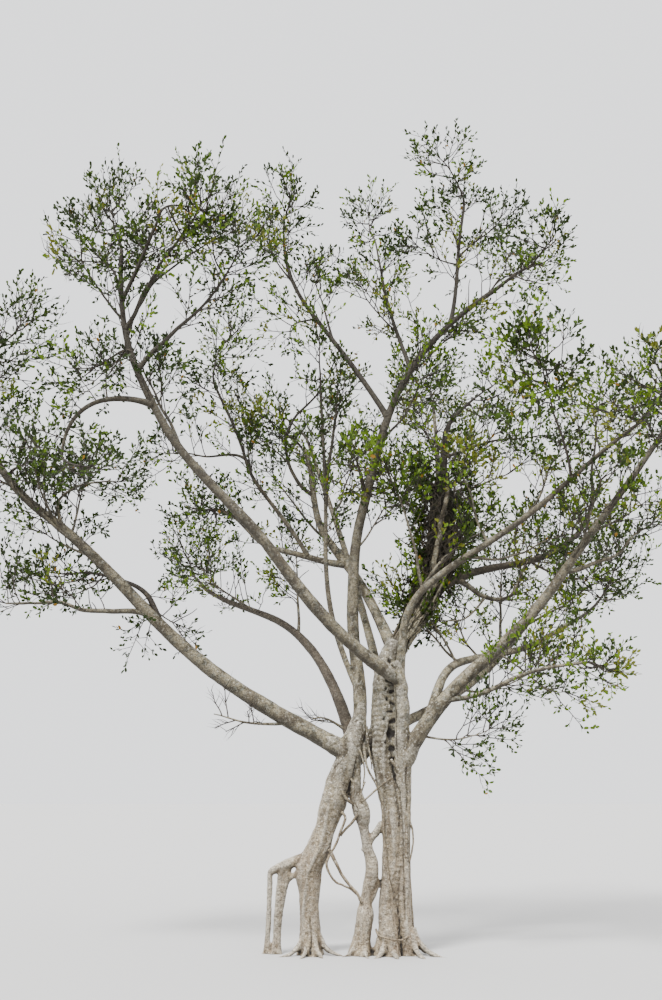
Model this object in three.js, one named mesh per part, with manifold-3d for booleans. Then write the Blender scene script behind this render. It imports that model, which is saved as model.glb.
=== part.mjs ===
// A fig tree of the strangling kind, grown together from aerial roots.
//
// Millimetres, +Z up, +X to the right and +Y away from the photograph's viewer.
// The origin is on the ground, under the main column of the trunk.
// Angles are in degrees: a heading is in plan from +X towards +Y, and a rise is above the horizon.

import * as THREE from 'three';
import { mergeVertices } from 'three/addons/utils/BufferGeometryUtils.js';
import Module from 'manifold-3d';

const wasm = await Module();
wasm.setup();

// Driving dimensions

const GAP = 0.35;               // air between touching pieces
const FORK_HEIGHT = 2050;       // where the column and the left leg part into boughs
const COLUMN_TOP = 3240;
const COLUMN_SIDES = 12;
const LIMB_SIDES = 6;
const STOUT_LIMB_SIDES = 8;
const STOUT_LIMB_RADIUS = 75;   // a limb at least this thick gets more sides
const SUBSTEPS = 6;             // short steps between two values of a limb's rise
const COLLAR = 0.22;            // how much a limb swells where it leaves its bearer
const SPRAY_LENGTH = 520;       // one blade stands for a spray of leaves
const SPRAY_WIDTH = 290;
const SPRAY_THICKNESS = 18;
const SPRAY_WIDEST = 0.62;      // where along its length a spray is widest
const SPRAY_ROOT = 9;           // how far a spray's root runs past the middle of its twig
const SPRAY_SWING = [0.8, 1.5]; // how far a side spray turns from its twig, least and most
const SPRAY_LIFT = [-0.2, 0.5];
const BLADE_ROOM = SPRAY_WIDTH / 3;
const STEM_SIDES = 4;
const STEM_PIECES = 3;
const STEM_BEYOND = 0.3;        // how far past its middle a stem runs, as a share of the mass
const STEM_STRAIGHT = 0.4;      // how long it goes on the way its bough does
const STEM_AT_TIP = 0.95;       // its radius as a share of the bough's, at the bough's tip
const STEM_AT_SIDE = 0.6;
const STEM_TIP_RADIUS = 24;
const TWIGS_IN_MASS = 5;
const TWIGGED = 0.7;            // how far before its middle a stem has twigs, as a share of the mass
const FIRST_TWIG = 0.25;        // the first and last places on a stem where a twig may grow
const LAST_TWIG = 0.98;
const TWIG_REACH = [0.88, 1];
const TWIG_RADIUS = 16;
const TWIG_TIP_RADIUS = 11;
const SHORTEST_TWIG = 60;
const SIDE_SPRAYS = [[0.35, 0.8], [0.6]]; // where they grow on a twig, by turns
const SPACE_SLACK = 1.12;       // how far past its space a side spray may reach
const CLEARANCE = 12;           // least air between foliage and what it isn't part of
const TOE_HEIGHT = 320;
const MERGE_DISTANCE = 1e-4;

// Finishes

const bark = new THREE.MeshStandardMaterial({ color: 0x9c9184, roughness: 0.88, metalness: 0 });
const darkBark = new THREE.MeshStandardMaterial({ color: 0x5d5145, roughness: 0.92, metalness: 0 });
const leafGreen = new THREE.MeshStandardMaterial({ color: 0x5b7a34, roughness: 0.55, metalness: 0 });
const deepGreen = new THREE.MeshStandardMaterial({ color: 0x34491f, roughness: 0.65, metalness: 0 });

// Trunk and prop roots: each strand runs through [x, y, z, radius]

const column = [
  [-8, 0, -40, 172], [-6, 0, 110, 142], [-3, 0, 300, 106], [0, 5, 560, 92], [40, 5, 900, 108],
  [50, 0, 1180, 110], [30, 0, 1520, 100], [-25, 0, 1800, 104], [-56, 0, FORK_HEIGHT, 112],
  [-57, 0, 2380, 116], [-38, 0, 2700, 110], [-15, 5, 2900, 106], [45, 10, 3080, 100],
  [105, 15, COLUMN_TOP, 92],
];
const rightStem = [
  [215, -30, -40, 104], [185, -30, 130, 72], [160, -35, 420, 56], [150, -40, 900, 54],
  [168, -50, 1300, 56], [155, -60, 1700, 74], [150, -75, 1950, 90], [152, -90, 2200, 88],
  [160, -105, 2500, 76], [140, -112, 2860, 70],
];
const leftTrunk = [
  [-560, -10, 1660, 118], [-500, -15, 1800, 128], [-420, -20, 1950, 134], [-395, -20, 2110, 132],
  [-360, -10, 2260, 104],
];
const forkWeb = [
  [-420, 60, 1900, 96], [-260, 75, 2080, 112], [-80, 60, 2240, 100],
];
const leftLeg = [
  [-800, -20, -40, 176], [-822, -15, 110, 138], [-838, 0, 400, 112], [-846, 0, 620, 114],
  [-850, 5, 830, 132], [-752, 5, 1020, 134], [-676, 0, 1220, 108], [-592, -5, 1500, 134],
  [-530, -10, 1740, 124],
];
const middleRoot = [
  [-300, -25, -40, 128], [-288, -20, 140, 92], [-256, -15, 390, 88], [-244, -10, 540, 62],
  [-180, -10, 820, 72], [-218, -10, 1030, 52], [-262, -10, 1230, 50], [-284, -12, 1410, 92],
  [-342, -15, 1600, 64], [-360, -15, 1900, 72],
];
const middleRootBranch = [
  [-262, -10, 1000, 40], [-170, -5, 1150, 36], [-60, 0, 1290, 40],
];
const propArm = [
  [-800, 15, 960, 54], [-950, 30, 930, 50], [-1080, 50, 868, 52], [-1180, 60, 836, 42],
  [-1262, 70, 790, 32],
];
const propFeet = [
  [[-1180, 70, -40, 62], [-1174, 66, 140, 42], [-1156, 60, 480, 38], [-1125, 56, 850, 44]],
  [[-1290, 80, -40, 44], [-1276, 78, 130, 29], [-1262, 74, 480, 26], [-1256, 70, 810, 30]],
];
const backLeg = [
  [110, 640, -40, 140], [106, 610, 130, 100], [90, 540, 480, 80], [80, 430, 950, 74],
  [70, 300, 1420, 80], [50, 150, 1860, 88], [30, 40, 2120, 88],
];

// Boughs. A bough starts at a place of its own on the trunk, or on another bough at a fraction of it.
// Its heading and its rise are given at even distances along it.

const limbs = [
  { name: 'low_left', from: [-430, -30, 2030], length: 5750, base: 92, tip: 36,
    heading: [188, 186, 176], rise: [27, 28, 33, 41, 46, 43, 36, 54, 78] },
  { name: 'upper_left', from: [130, -130, 2800], length: 5800, base: 76, tip: 26,
    heading: [214, 198, 190, 186], rise: [24, 34, 46, 52, 43, 46, 60, 66, 82, 87] },
  { name: 'centre', from: [-365, 20, 2090], length: 5950, base: 80, tip: 28,
    heading: [0, 355, 350, 345], rise: [74, 80, 86, 88, 76, 76, 70, 55, 40, 30] },
  { name: 'grey', from: [90, 50, 3130], length: 2900, base: 66, tip: 30,
    heading: [138, 155, 165], rise: [64, 62, 59, 51, 56, 80, 84, 66] },
  { name: 'tangled', from: [110, 60, 3120], length: 2800, base: 92, tip: 44,
    heading: [42, 30], rise: [56, 51, 60, 74, 86, 87, 82] },
  { name: 'right_diagonal', from: [140, -115, 2790], length: 3900, base: 50, tip: 22,
    heading: [345, 330], rise: [86, 82, 38, 28, 30, 36, 36, 30] },
  { name: 'low_right', from: [190, -70, 1970], length: 4600, base: 84, tip: 28,
    heading: [350, 352, 356], rise: [60, 50, 38, 46, 54, 52, 52, 55] },
  { name: 'back_left', from: [-370, 70, 2120], length: 3300, base: 70, tip: 26,
    heading: [118, 140, 150], rise: [62, 58, 50, 38, 22, 20, 32] },
  { name: 'back_high', from: [-20, 80, 2620], length: 4500, base: 56, tip: 24,
    heading: [98, 112, 128], rise: [46, 52, 58, 60, 64] },
  { name: 'back_centre', from: [0, 80, 2900], length: 4600, base: 58, tip: 24,
    heading: [58, 62, 75, 95], rise: [48, 50, 58, 66, 72] },
  { name: 'back_right', from: [60, 70, 2300], length: 4100, base: 58, tip: 24,
    heading: [38, 42, 44], rise: [18, 26, 36, 44, 48] },
  { name: 'left_arch', on: 'upper_left', at: 0.7, length: 1300, base: 36, tip: 16,
    heading: 188, rise: [20, 4, -14, -44, -72, -88] },
  { name: 'mid_left', on: 'upper_left', at: 0.92, length: 1000, base: 24, tip: 16,
    heading: 325, rise: [56, 60, 62] },
  { name: 'centre_left', on: 'centre', at: 0.655, length: 2850, base: 36, tip: 20,
    heading: 165, rise: [61, 58, 56, 55, 67, 87] },
  { name: 'crown', on: 'centre', at: 0.765, length: 1500, base: 26, tip: 17,
    heading: 145, rise: [72, 71, 76, 82] },
  { name: 'top', on: 'centre', at: 0.89, length: 1680, base: 28, tip: 17,
    heading: 20, rise: [75, 82, 85, 81, 80] },
  { name: 'slender', on: 'centre', at: 0.1, length: 3700, base: 36, tip: 17,
    heading: 175, rise: [64, 72, 84, 91, 88, 87, 87] },
  { name: 'grey_left', on: 'grey', at: 0.43, length: 1800, base: 42, tip: 20,
    heading: 165, rise: [4, 18, 18, 14, 46, 46, 22] },
  { name: 'left_rise', on: 'grey_left', at: 0.27, length: 2600, base: 28, tip: 16,
    heading: 172, rise: [63, 55, 53, 55, 74, 68, 64, 66] },
  { name: 'dark_right', on: 'tangled', at: 0.27, length: 3200, base: 56, tip: 24,
    heading: [16, 30], rise: [42, 32, 18, 12, 16, 28, 40, 60, 88] },
  { name: 'right_side', on: 'low_right', at: 0.115, length: 2600, base: 56, tip: 25,
    heading: [56, 26, 20], rise: [70, 55, 16, 10, 16, 30, 28] },
  { name: 'low_under', on: 'low_right', at: 0.165, length: 1600, base: 30, tip: 15,
    heading: 335, rise: [-4, 12, 25, 16, 5, 4] },
];

// Masses of foliage: the limb that bears each, where on it, and the space that it keeps to

const masses = [
  { name: 'foliage_upper_left', on: 'upper_left', centre: [-3090, -1000, 7870], size: [670, 750, 780] },
  { name: 'foliage_mid_left', on: 'mid_left', centre: [-1980, -1550, 7600], size: [520, 620, 720] },
  { name: 'foliage_inner_left', on: 'upper_left', at: 0.84, centre: [-1725, -500, 8040],
    size: [380, 450, 480] },
  { name: 'foliage_centre_left', on: 'centre_left', centre: [-1180, 300, 8790], size: [450, 560, 850] },
  { name: 'foliage_crown', on: 'crown', centre: [-93, 600, 8870], size: [480, 560, 560] },
  { name: 'foliage_top', on: 'top', centre: [822, -200, 9130], size: [570, 560, 540] },
  { name: 'foliage_centre_right', on: 'centre', centre: [1790, -900, 7610], size: [560, 640, 620] },
  { name: 'foliage_fork', on: 'right_diagonal', at: 0.79, centre: [1420, -2000, 5760],
    size: [680, 720, 640] },
  { name: 'foliage_right_diagonal', on: 'right_diagonal', centre: [2590, -2000, 5330],
    size: [760, 800, 800] },
  { name: 'foliage_low_right', on: 'low_right', centre: [3470, -600, 5830], size: [800, 850, 850] },
  { name: 'foliage_far_left', on: 'low_left', centre: [-4310, -400, 6710], size: [620, 700, 800] },
  { name: 'foliage_left_shoulder', on: 'upper_left', at: 0.8, centre: [-3210, -1400, 5850],
    size: [480, 560, 470] },
  { name: 'foliage_left_arch', on: 'left_arch', centre: [-3136, -1300, 4890], size: [500, 560, 430] },
  { name: 'foliage_low_left', on: 'low_left', at: 0.85, centre: [-4030, -700, 5020],
    size: [440, 520, 560] },
  { name: 'foliage_left_side', on: 'low_left', at: 0.43, centre: [-3780, 0, 3970],
    size: [620, 600, 400] },
  { name: 'foliage_left_rise', on: 'left_rise', centre: [-1940, 800, 7130], size: [520, 600, 900] },
  { name: 'foliage_grey_left', on: 'grey_left', centre: [-2180, 900, 4970], size: [620, 640, 600] },
  { name: 'foliage_grey', on: 'grey', at: 0.92, centre: [-1240, 600, 5960], size: [520, 560, 580] },
  { name: 'foliage_slender', on: 'slender', centre: [-760, -100, 6650], size: [380, 420, 620] },
  { name: 'foliage_centre', on: 'centre', at: 0.48, centre: [-335, -600, 5110], size: [330, 340, 400] },
  { name: 'foliage_tangled', on: 'tangled', centre: [1450, 900, 6610], size: [520, 560, 560] },
  { name: 'foliage_dark_right', on: 'dark_right', centre: [2980, 1300, 6630], size: [640, 680, 640] },
  { name: 'foliage_right_side', on: 'right_side', centre: [2920, 1000, 4390], size: [640, 640, 720] },
  { name: 'foliage_low_under', on: 'low_under', centre: [2090, -900, 2860], size: [480, 520, 340] },
  { name: 'foliage_back_left', on: 'back_left', centre: [-2500, 2300, 4700], size: [750, 720, 650] },
  { name: 'foliage_back_high', on: 'back_high', centre: [-1500, 2700, 6900], size: [850, 800, 750] },
  { name: 'foliage_back_centre', on: 'back_centre', centre: [870, 2900, 7300], size: [850, 850, 850] },
  { name: 'foliage_back_right', on: 'back_right', centre: [2800, 2700, 5200], size: [820, 850, 800] },
];

// The tangle of hanging roots and leaves wrapped round one bough

const tangle = { name: 'tangle', on: 'tangled', start: 0.14, end: 0.9, radius: 265, lump: 0.3,
  slimmest: 0.62, sides: 9, rings: 9, sprays: 22, sprayDroop: 0.6, sprayDepth: 0.75 };

// Small tools

const radians = THREE.MathUtils.degToRad;
const vector = (place) => new THREE.Vector3(...place);

/** A value at fraction t of a list whose entries are evenly spaced, or a plain number. */
function valueAt(list, t) {
  if (!Array.isArray(list)) return list;
  const place = t * (list.length - 1);
  const i = Math.min(Math.floor(place), list.length - 2);
  return list[i] + (list[i + 1] - list[i]) * (place - i);
}

/** A value from the range at fraction t of it. */
function within([least, most], t) {
  return least + (most - least) * t;
}

function direction(heading, rise) {
  const level = Math.cos(radians(rise));
  return new THREE.Vector3(
    Math.cos(radians(heading)) * level, Math.sin(radians(heading)) * level, Math.sin(radians(rise)));
}

/** Repeatable random numbers from 0 to 1. */
function randomSource(seed) {
  let state = seed >>> 0;
  return () => {
    state = (state + 0x6d2b79f5) >>> 0;
    let t = state;
    t = Math.imul(t ^ (t >>> 15), t | 1);
    t ^= t + Math.imul(t ^ (t >>> 7), t | 61);
    return ((t ^ (t >>> 14)) >>> 0) / 4294967296;
  };
}

function solidOf(geometry) {
  const plain = geometry.clone();
  plain.deleteAttribute('normal');
  plain.deleteAttribute('uv');
  const merged = mergeVertices(plain, MERGE_DISTANCE);
  return new wasm.Manifold(new wasm.Mesh({
    numProp: 3,
    vertProperties: new Float32Array(merged.attributes.position.array),
    triVerts: new Uint32Array(merged.index.array),
  }));
}

function union(solids) {
  return solids.reduce((whole, next) => whole.add(next));
}

/** The largest piece of a solid, so that no loose scrap is kept. */
function largest(solid) {
  return solid.decompose().reduce((best, piece) => (piece.volume() > best.volume() ? piece : best));
}

function meshOf(name, solid, material) {
  const mesh = solid.getMesh();
  const geometry = new THREE.BufferGeometry();
  geometry.setAttribute('position', new THREE.BufferAttribute(mesh.vertProperties, 3));
  geometry.setIndex(new THREE.BufferAttribute(mesh.triVerts, 1));
  geometry.computeVertexNormals();
  const result = new THREE.Mesh(geometry, material);
  result.name = name;
  return result;
}

// Tubes

/**
 * A closed tube through the points, with one ring of corners at each, grown on all sides and ends.
 * A radius is a number, or [wide, thick] where the tube is flattened.
 */
function tube(points, radii, sides, { grow = 0, shape = () => 1, roll = 0 } = {}) {
  const corners = [];
  const lastPoint = points.length - 1;
  let side = new THREE.Vector3(0, 1, 0);
  points.forEach((point, i) => {
    const ahead = points[Math.min(i + 1, lastPoint)];
    const behind = points[Math.max(i - 1, 0)];
    const along = ahead.clone().sub(behind).normalize();
    if (i === 0 && Math.abs(along.y) > 0.8) side = new THREE.Vector3(1, 0, 0);
    side = side.clone().addScaledVector(along, -side.dot(along)).normalize();
    if (i === 0) side.applyAxisAngle(along, roll);
    const across = along.clone().cross(side);
    for (let k = 0; k < sides; k++) {
      const turn = (2 * Math.PI * k) / sides;
      const [wide, thick] = Array.isArray(radii[i]) ? radii[i] : [radii[i], radii[i]];
      const swell = shape(turn, point);
      const outward = i === 0 ? -grow : i === lastPoint ? grow : 0;
      corners.push(point.clone()
        .addScaledVector(along, outward)
        .addScaledVector(side, (wide * swell + grow) * Math.cos(turn))
        .addScaledVector(across, (thick * swell + grow) * Math.sin(turn)));
    }
  });
  const faces = [];
  for (let i = 0; i < lastPoint; i++) {
    for (let k = 0; k < sides; k++) {
      const a = i * sides + k;
      const b = i * sides + ((k + 1) % sides);
      faces.push(a, b, b + sides, a, b + sides, a + sides);
    }
  }
  const last = lastPoint * sides;
  for (let k = 1; k + 1 < sides; k++) {
    faces.push(0, k + 1, k);
    faces.push(last, last + k, last + k + 1);
  }
  const geometry = new THREE.BufferGeometry().setFromPoints(corners);
  geometry.setIndex(faces);
  return solidOf(geometry);
}

/** A strand of the trunk, with a ring at each of its stations. */
function strand(stations, grow, sides, shape) {
  const points = stations.map((station) => vector(station.slice(0, 3)));
  const radii = stations.map((station) => station[3]);
  return tube(points, radii, sides, { grow, shape });
}

/** Toes that spread from a foot as it meets the ground. */
function toes(count, spread, turnOfFirst) {
  return (turn, point) => {
    const nearness = Math.max(0, 1 - point.z / TOE_HEIGHT);
    return 1 + spread * nearness * nearness * Math.cos(count * (turn - radians(turnOfFirst)));
  };
}

/** Everything below the ground, for cutting feet flat. */
function belowGround() {
  const size = 4000;
  return solidOf(new THREE.BoxGeometry(size, size, size).translate(0, 0, -size / 2));
}

// The trunk and its legs

function trunkSolid(grow) {
  const parts = [
    strand(column, grow, COLUMN_SIDES, toes(4, 0.3, 20)),
    strand(rightStem, grow, STOUT_LIMB_SIDES, toes(3, 0.25, 0)),
    strand(leftTrunk, grow, STOUT_LIMB_SIDES),
    strand(forkWeb, grow, STOUT_LIMB_SIDES),
  ];
  return union(parts);
}

const legs = {
  leg_left: (grow) => strand(leftLeg, grow, STOUT_LIMB_SIDES, toes(3, 0.3, 200)),
  leg_middle: (grow) => union([
    strand(middleRoot, grow, STOUT_LIMB_SIDES, toes(3, 0.3, 90)),
    strand(middleRootBranch, grow, LIMB_SIDES),
  ]),
  leg_far_left: (grow) => union([
    strand(propArm, grow, LIMB_SIDES),
    ...propFeet.map((foot) => strand(foot, grow, LIMB_SIDES, toes(3, 0.2, 0))),
  ]),
  leg_back: (grow) => strand(backLeg, grow, STOUT_LIMB_SIDES, toes(3, 0.3, 60)),
};

// Boughs

const paths = {};

/** The points of a limb, worked out by going along its heading and rise in short steps. */
function limbPath(limb) {
  const start = limb.on ? pointOn(limb.on, limb.at) : vector(limb.from);
  const steps = (limb.rise.length - 1) * SUBSTEPS;
  const points = [start];
  for (let i = 0; i < steps; i++) {
    const t = (i + 0.5) / steps;
    const way = direction(valueAt(limb.heading, t), valueAt(limb.rise, t));
    points.push(points[i].clone().addScaledVector(way, limb.length / steps));
  }
  return points;
}

function pointOn(name, at) {
  const points = paths[name];
  const place = at * (points.length - 1);
  const i = Math.min(Math.floor(place), points.length - 2);
  return points[i].clone().lerp(points[i + 1], place - i);
}

function limbRadius(limb, t) {
  const swell = 1 + COLLAR * Math.exp(-t * limb.length / (2 * limb.base));
  return (limb.base + (limb.tip - limb.base) * t) * swell;
}

function limbSolid(limb, grow) {
  const points = paths[limb.name].filter((_, i) => i % SUBSTEPS === 0);
  const radii = points.map((_, i) => limbRadius(limb, i / (points.length - 1)));
  return tube(points, radii, limb.base >= STOUT_LIMB_RADIUS ? STOUT_LIMB_SIDES : LIMB_SIDES, { grow });
}

// Clearance: every piece is also kept as a row of round-ended rods

const rods = [];

function addRods(owner, points, radii) {
  for (let i = 0; i + 1 < points.length; i++) {
    rods.push({ owner, a: points[i], b: points[i + 1], radius: Math.max(radii[i], radii[i + 1]) });
  }
}

/** The shortest distance between two straight stretches. */
function stretchDistance(a, b, c, d) {
  const u = b.clone().sub(a);
  const v = d.clone().sub(c);
  const w = a.clone().sub(c);
  const uu = u.dot(u);
  const uv = u.dot(v);
  const vv = v.dot(v);
  const uw = u.dot(w);
  const vw = v.dot(w);
  const spread = uu * vv - uv * uv;
  const clamp = (x) => Math.min(1, Math.max(0, x));
  let s = spread > 1e-9 * uu * vv ? clamp((uv * vw - vv * uw) / spread) : 0;
  const t = clamp((uv * s + vw) / vv);
  s = clamp((uv * t - uw) / uu);
  return a.clone().addScaledVector(u, s).distanceTo(c.clone().addScaledVector(v, t));
}

function isClear(owner, a, b, radius) {
  return rods.every((rod) => rod.owner === owner
    || stretchDistance(a, b, rod.a, rod.b) > radius + rod.radius + CLEARANCE);
}

// Foliage

/** A blade of eight faces that stands for a spray of leaves, pointed at its root and its tip. */
function spraySolid(root, way, roll, sunk) {
  const geometry = new THREE.OctahedronGeometry(1);
  const place = geometry.attributes.position;
  for (let i = 0; i < place.count; i++) {
    const z = place.getZ(i);
    const along = Math.abs(z) < 0.5 ? SPRAY_WIDEST : (z + 1) / 2;
    place.setXYZ(i, place.getX(i) * SPRAY_WIDTH / 2, place.getY(i) * SPRAY_THICKNESS / 2,
      along * SPRAY_LENGTH - sunk);
  }
  geometry.rotateZ(roll);
  geometry.applyQuaternion(new THREE.Quaternion().setFromUnitVectors(new THREE.Vector3(0, 0, 1), way));
  geometry.translate(root.x, root.y, root.z);
  return solidOf(geometry);
}

/** The nth of some directions spread evenly over a ball. */
function evenDirection(n, count, twist) {
  const up = 1 - (2 * n + 1) / count;
  const turn = n * Math.PI * (3 - Math.sqrt(5)) + twist;
  const level = Math.sqrt(1 - up * up);
  return new THREE.Vector3(Math.cos(turn) * level, Math.sin(turn) * level, up);
}

function isInside(mass, point) {
  const offset = point.clone().sub(vector(mass.centre)).divide(vector(mass.size));
  return offset.length() <= SPACE_SLACK;
}

/** A three-sided twig that ends in a spray. A triangle is 1.5 by root 3 of its circle's radii. */
function twigSolid(root, end, roll) {
  const way = end.clone().sub(root).normalize();
  const widest = end.clone().addScaledVector(way, SPRAY_LENGTH * SPRAY_WIDEST);
  const tip = end.clone().addScaledVector(way, SPRAY_LENGTH);
  const blade = [SPRAY_WIDTH / 1.5, SPRAY_THICKNESS / Math.sqrt(3)];
  const radii = [TWIG_RADIUS, TWIG_TIP_RADIUS, blade, SPRAY_THICKNESS / 4];
  return tube([root, end, widest, tip], radii, 3, { roll });
}

/** Grows one mass by its seeded rule: a stem, twigs to all sides of its space, sprays on each twig. */
function massSolid(mass, seed) {
  const random = randomSource(seed);
  const limb = limbs.find((candidate) => candidate.name === mass.on);
  const path = paths[mass.on];
  const atTip = mass.at === undefined;
  const tangent = atTip
    ? path[path.length - 1].clone().sub(path[path.length - 2]).normalize()
    : new THREE.Vector3(0, 0, 1);
  const start = pointOn(mass.on, atTip ? 1 : mass.at).addScaledVector(tangent, atTip ? GAP : 0);
  const centre = vector(mass.centre);
  const size = vector(mass.size);
  const stemWay = centre.clone().sub(start).normalize();
  const inward = stemWay.clone().multiply(size).length();
  const stemEnd = centre.clone().addScaledVector(stemWay, STEM_BEYOND * inward);
  const stemLength = start.distanceTo(stemEnd);
  const share = atTip ? STEM_AT_TIP : STEM_AT_SIDE;
  const stemRadius = Math.max(STEM_TIP_RADIUS, limbRadius(limb, atTip ? 1 : mass.at) * share);
  const stemBend = start.clone().addScaledVector(tangent, stemLength * STEM_STRAIGHT);
  const stemCurve = new THREE.QuadraticBezierCurve3(start, stemBend, stemEnd);
  const stem = stemCurve.getPoints(STEM_PIECES);
  const stemRadii = stem.map((_, i) => valueAt([stemRadius, STEM_TIP_RADIUS], i / STEM_PIECES));
  const parts = [tube(stem, stemRadii, STEM_SIDES)];
  addRods(mass.name, stem, stemRadii);
  const firstRoot = Math.max(FIRST_TWIG, 1 - (STEM_BEYOND + TWIGGED) * inward / stemLength);
  const twist = random() * 2 * Math.PI;
  for (let n = 0; n < TWIGS_IN_MASS; n++) {
    const reach = within(TWIG_REACH, random());
    const edge = evenDirection(n, TWIGS_IN_MASS, twist).multiply(size).multiplyScalar(reach);
    const down = (n + 0.5 * random()) / (TWIGS_IN_MASS - 0.5);
    const root = stemCurve.getPoint(within([LAST_TWIG, firstRoot], down));
    const outward = centre.clone().add(edge).sub(root);
    const twigLength = Math.max(SHORTEST_TWIG, outward.length() - SPRAY_LENGTH);
    const way = outward.normalize();
    const end = root.clone().addScaledVector(way, twigLength);
    const tip = end.clone().addScaledVector(way, SPRAY_LENGTH);
    const twigRoll = random() * Math.PI;
    const places = SIDE_SPRAYS[n % SIDE_SPRAYS.length];
    const swings = places.map(() => [random(), random(), random()]);
    if (!isClear(mass.name, root.clone().lerp(end, 0.5), end, TWIG_RADIUS)) continue;
    if (!isClear(mass.name, end, tip, BLADE_ROOM)) continue;
    parts.push(twigSolid(root, end, twigRoll));
    addRods(mass.name, [root, end], [TWIG_RADIUS, TWIG_TIP_RADIUS]);
    addRods(mass.name, [end, tip], [BLADE_ROOM, BLADE_ROOM]);
    places.forEach((t, k) => {
      const [swing, lift, roll] = swings[k];
      const sprayRoot = root.clone().lerp(end, t);
      const sideways = new THREE.Vector3(-way.y, way.x, 0).normalize();
      const hand = (n + k) % 2 ? 1 : -1;
      const turned = way.clone()
        .addScaledVector(sideways, hand * within(SPRAY_SWING, swing))
        .add(new THREE.Vector3(0, 0, within(SPRAY_LIFT, lift))).normalize();
      const sprayTip = sprayRoot.clone().addScaledVector(turned, SPRAY_LENGTH);
      if (!isInside(mass, sprayTip) || !isClear(mass.name, sprayRoot, sprayTip, BLADE_ROOM)) return;
      parts.push(spraySolid(sprayRoot, turned, roll * Math.PI, SPRAY_ROOT));
      addRods(mass.name, [sprayRoot, sprayTip], [BLADE_ROOM, BLADE_ROOM]);
    });
  }
  return union(parts);
}

/** A lumpy sleeve of roots round the bough, with sprays standing out of it. */
function tangleSolid() {
  const random = randomSource(7);
  const points = [];
  const radii = [];
  for (let i = 0; i < tangle.rings; i++) {
    const t = i / (tangle.rings - 1);
    points.push(pointOn(tangle.on, tangle.start + (tangle.end - tangle.start) * t));
    const fullness = within([tangle.slimmest, 1], Math.sin(Math.PI * t));
    radii.push(tangle.radius * fullness * (1 + tangle.lump * (random() - 0.5)));
  }
  const parts = [tube(points, radii, tangle.sides)];
  addRods(tangle.name, points, radii);
  for (let n = 0; n < tangle.sprays; n++) {
    const i = 1 + Math.floor(random() * (tangle.rings - 2));
    const turn = random() * 2 * Math.PI;
    const lift = random() - tangle.sprayDroop;
    const way = new THREE.Vector3(Math.cos(turn), Math.sin(turn), lift).normalize();
    const root = points[i].clone().addScaledVector(way, radii[i] * tangle.sprayDepth);
    const roll = random() * Math.PI;
    const tip = root.clone().addScaledVector(way, SPRAY_LENGTH);
    if (!isClear(tangle.name, root, tip, BLADE_ROOM)) continue;
    parts.push(spraySolid(root, way, roll, SPRAY_ROOT));
    addRods(tangle.name, [root, tip], [BLADE_ROOM, BLADE_ROOM]);
  }
  return union(parts);
}

// The whole tree

const tree = new THREE.Group();
const ground = belowGround();
const blockers = [];

/** Adds a piece, cut flat at the ground and clear of every piece before it. */
function addPiece(name, solid, material, grown = null) {
  let piece = solid.subtract(ground);
  for (const blocker of blockers) piece = piece.subtract(blocker);
  tree.add(meshOf(name, largest(piece), material));
  if (grown) blockers.push(grown);
}

addPiece('trunk', trunkSolid(0), bark, trunkSolid(GAP));
for (const [name, build] of Object.entries(legs)) addPiece(name, build(0), bark, build(GAP));
for (const stations of [column, rightStem, leftTrunk, leftLeg, middleRoot, backLeg]) {
  addRods('trunk', stations.map((s) => vector(s.slice(0, 3))), stations.map((s) => s[3]));
}

const darkLimbs = ['tangled', 'dark_right', 'back_left'];
for (const limb of limbs) {
  paths[limb.name] = limbPath(limb);
  const material = darkLimbs.includes(limb.name) ? darkBark : bark;
  addPiece(limb.name, limbSolid(limb, 0), material, limbSolid(limb, GAP));
}
for (const limb of limbs) {
  const points = paths[limb.name].filter((_, i) => i % SUBSTEPS === 0);
  addRods(limb.name, points, points.map((_, i) => limbRadius(limb, i / (points.length - 1))));
}

const tangleOfRoots = tangleSolid();
addPiece(tangle.name, tangleOfRoots, deepGreen);
masses.forEach((mass, i) => addPiece(mass.name, massSolid(mass, 101 + 17 * i), leafGreen));

export default tree;
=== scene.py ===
"""The looks of a fig tree of the strangling kind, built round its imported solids.

Metres, +Z up, +X to the right and +Y away from the photograph's viewer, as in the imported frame.
Angles in the tables are in degrees: a heading is in plan from +X towards +Y, and a rise is above
the horizon. Limbs and masses grow by the same rule as the solids do, and carry on to finer twigs.
"""

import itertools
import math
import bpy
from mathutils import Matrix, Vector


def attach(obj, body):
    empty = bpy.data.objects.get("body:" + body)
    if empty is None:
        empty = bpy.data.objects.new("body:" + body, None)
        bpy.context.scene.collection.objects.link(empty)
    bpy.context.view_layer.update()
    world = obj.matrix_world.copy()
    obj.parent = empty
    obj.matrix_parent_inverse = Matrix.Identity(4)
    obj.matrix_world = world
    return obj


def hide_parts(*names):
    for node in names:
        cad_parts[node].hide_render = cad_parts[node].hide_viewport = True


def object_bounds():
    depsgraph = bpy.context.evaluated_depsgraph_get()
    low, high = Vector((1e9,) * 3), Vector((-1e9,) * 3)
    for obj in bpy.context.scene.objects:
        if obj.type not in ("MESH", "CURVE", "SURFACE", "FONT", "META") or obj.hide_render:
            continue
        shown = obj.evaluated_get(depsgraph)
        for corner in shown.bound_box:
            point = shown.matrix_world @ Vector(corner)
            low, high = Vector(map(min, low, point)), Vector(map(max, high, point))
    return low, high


bl_info = {
    "name": "Fig tree",
    "version": (1, 0, 0),
    "blender": (4, 5, 0),
    "location": "3D View > Sidebar > Fig Tree",
    "description": "Dresses the solids of a fig tree with bark, hanging roots, twigs and leaves",
    "category": "Object",
}

import bmesh
import bpy
import numpy as np
from bpy.props import FloatProperty, FloatVectorProperty, IntProperty, PointerProperty

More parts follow.
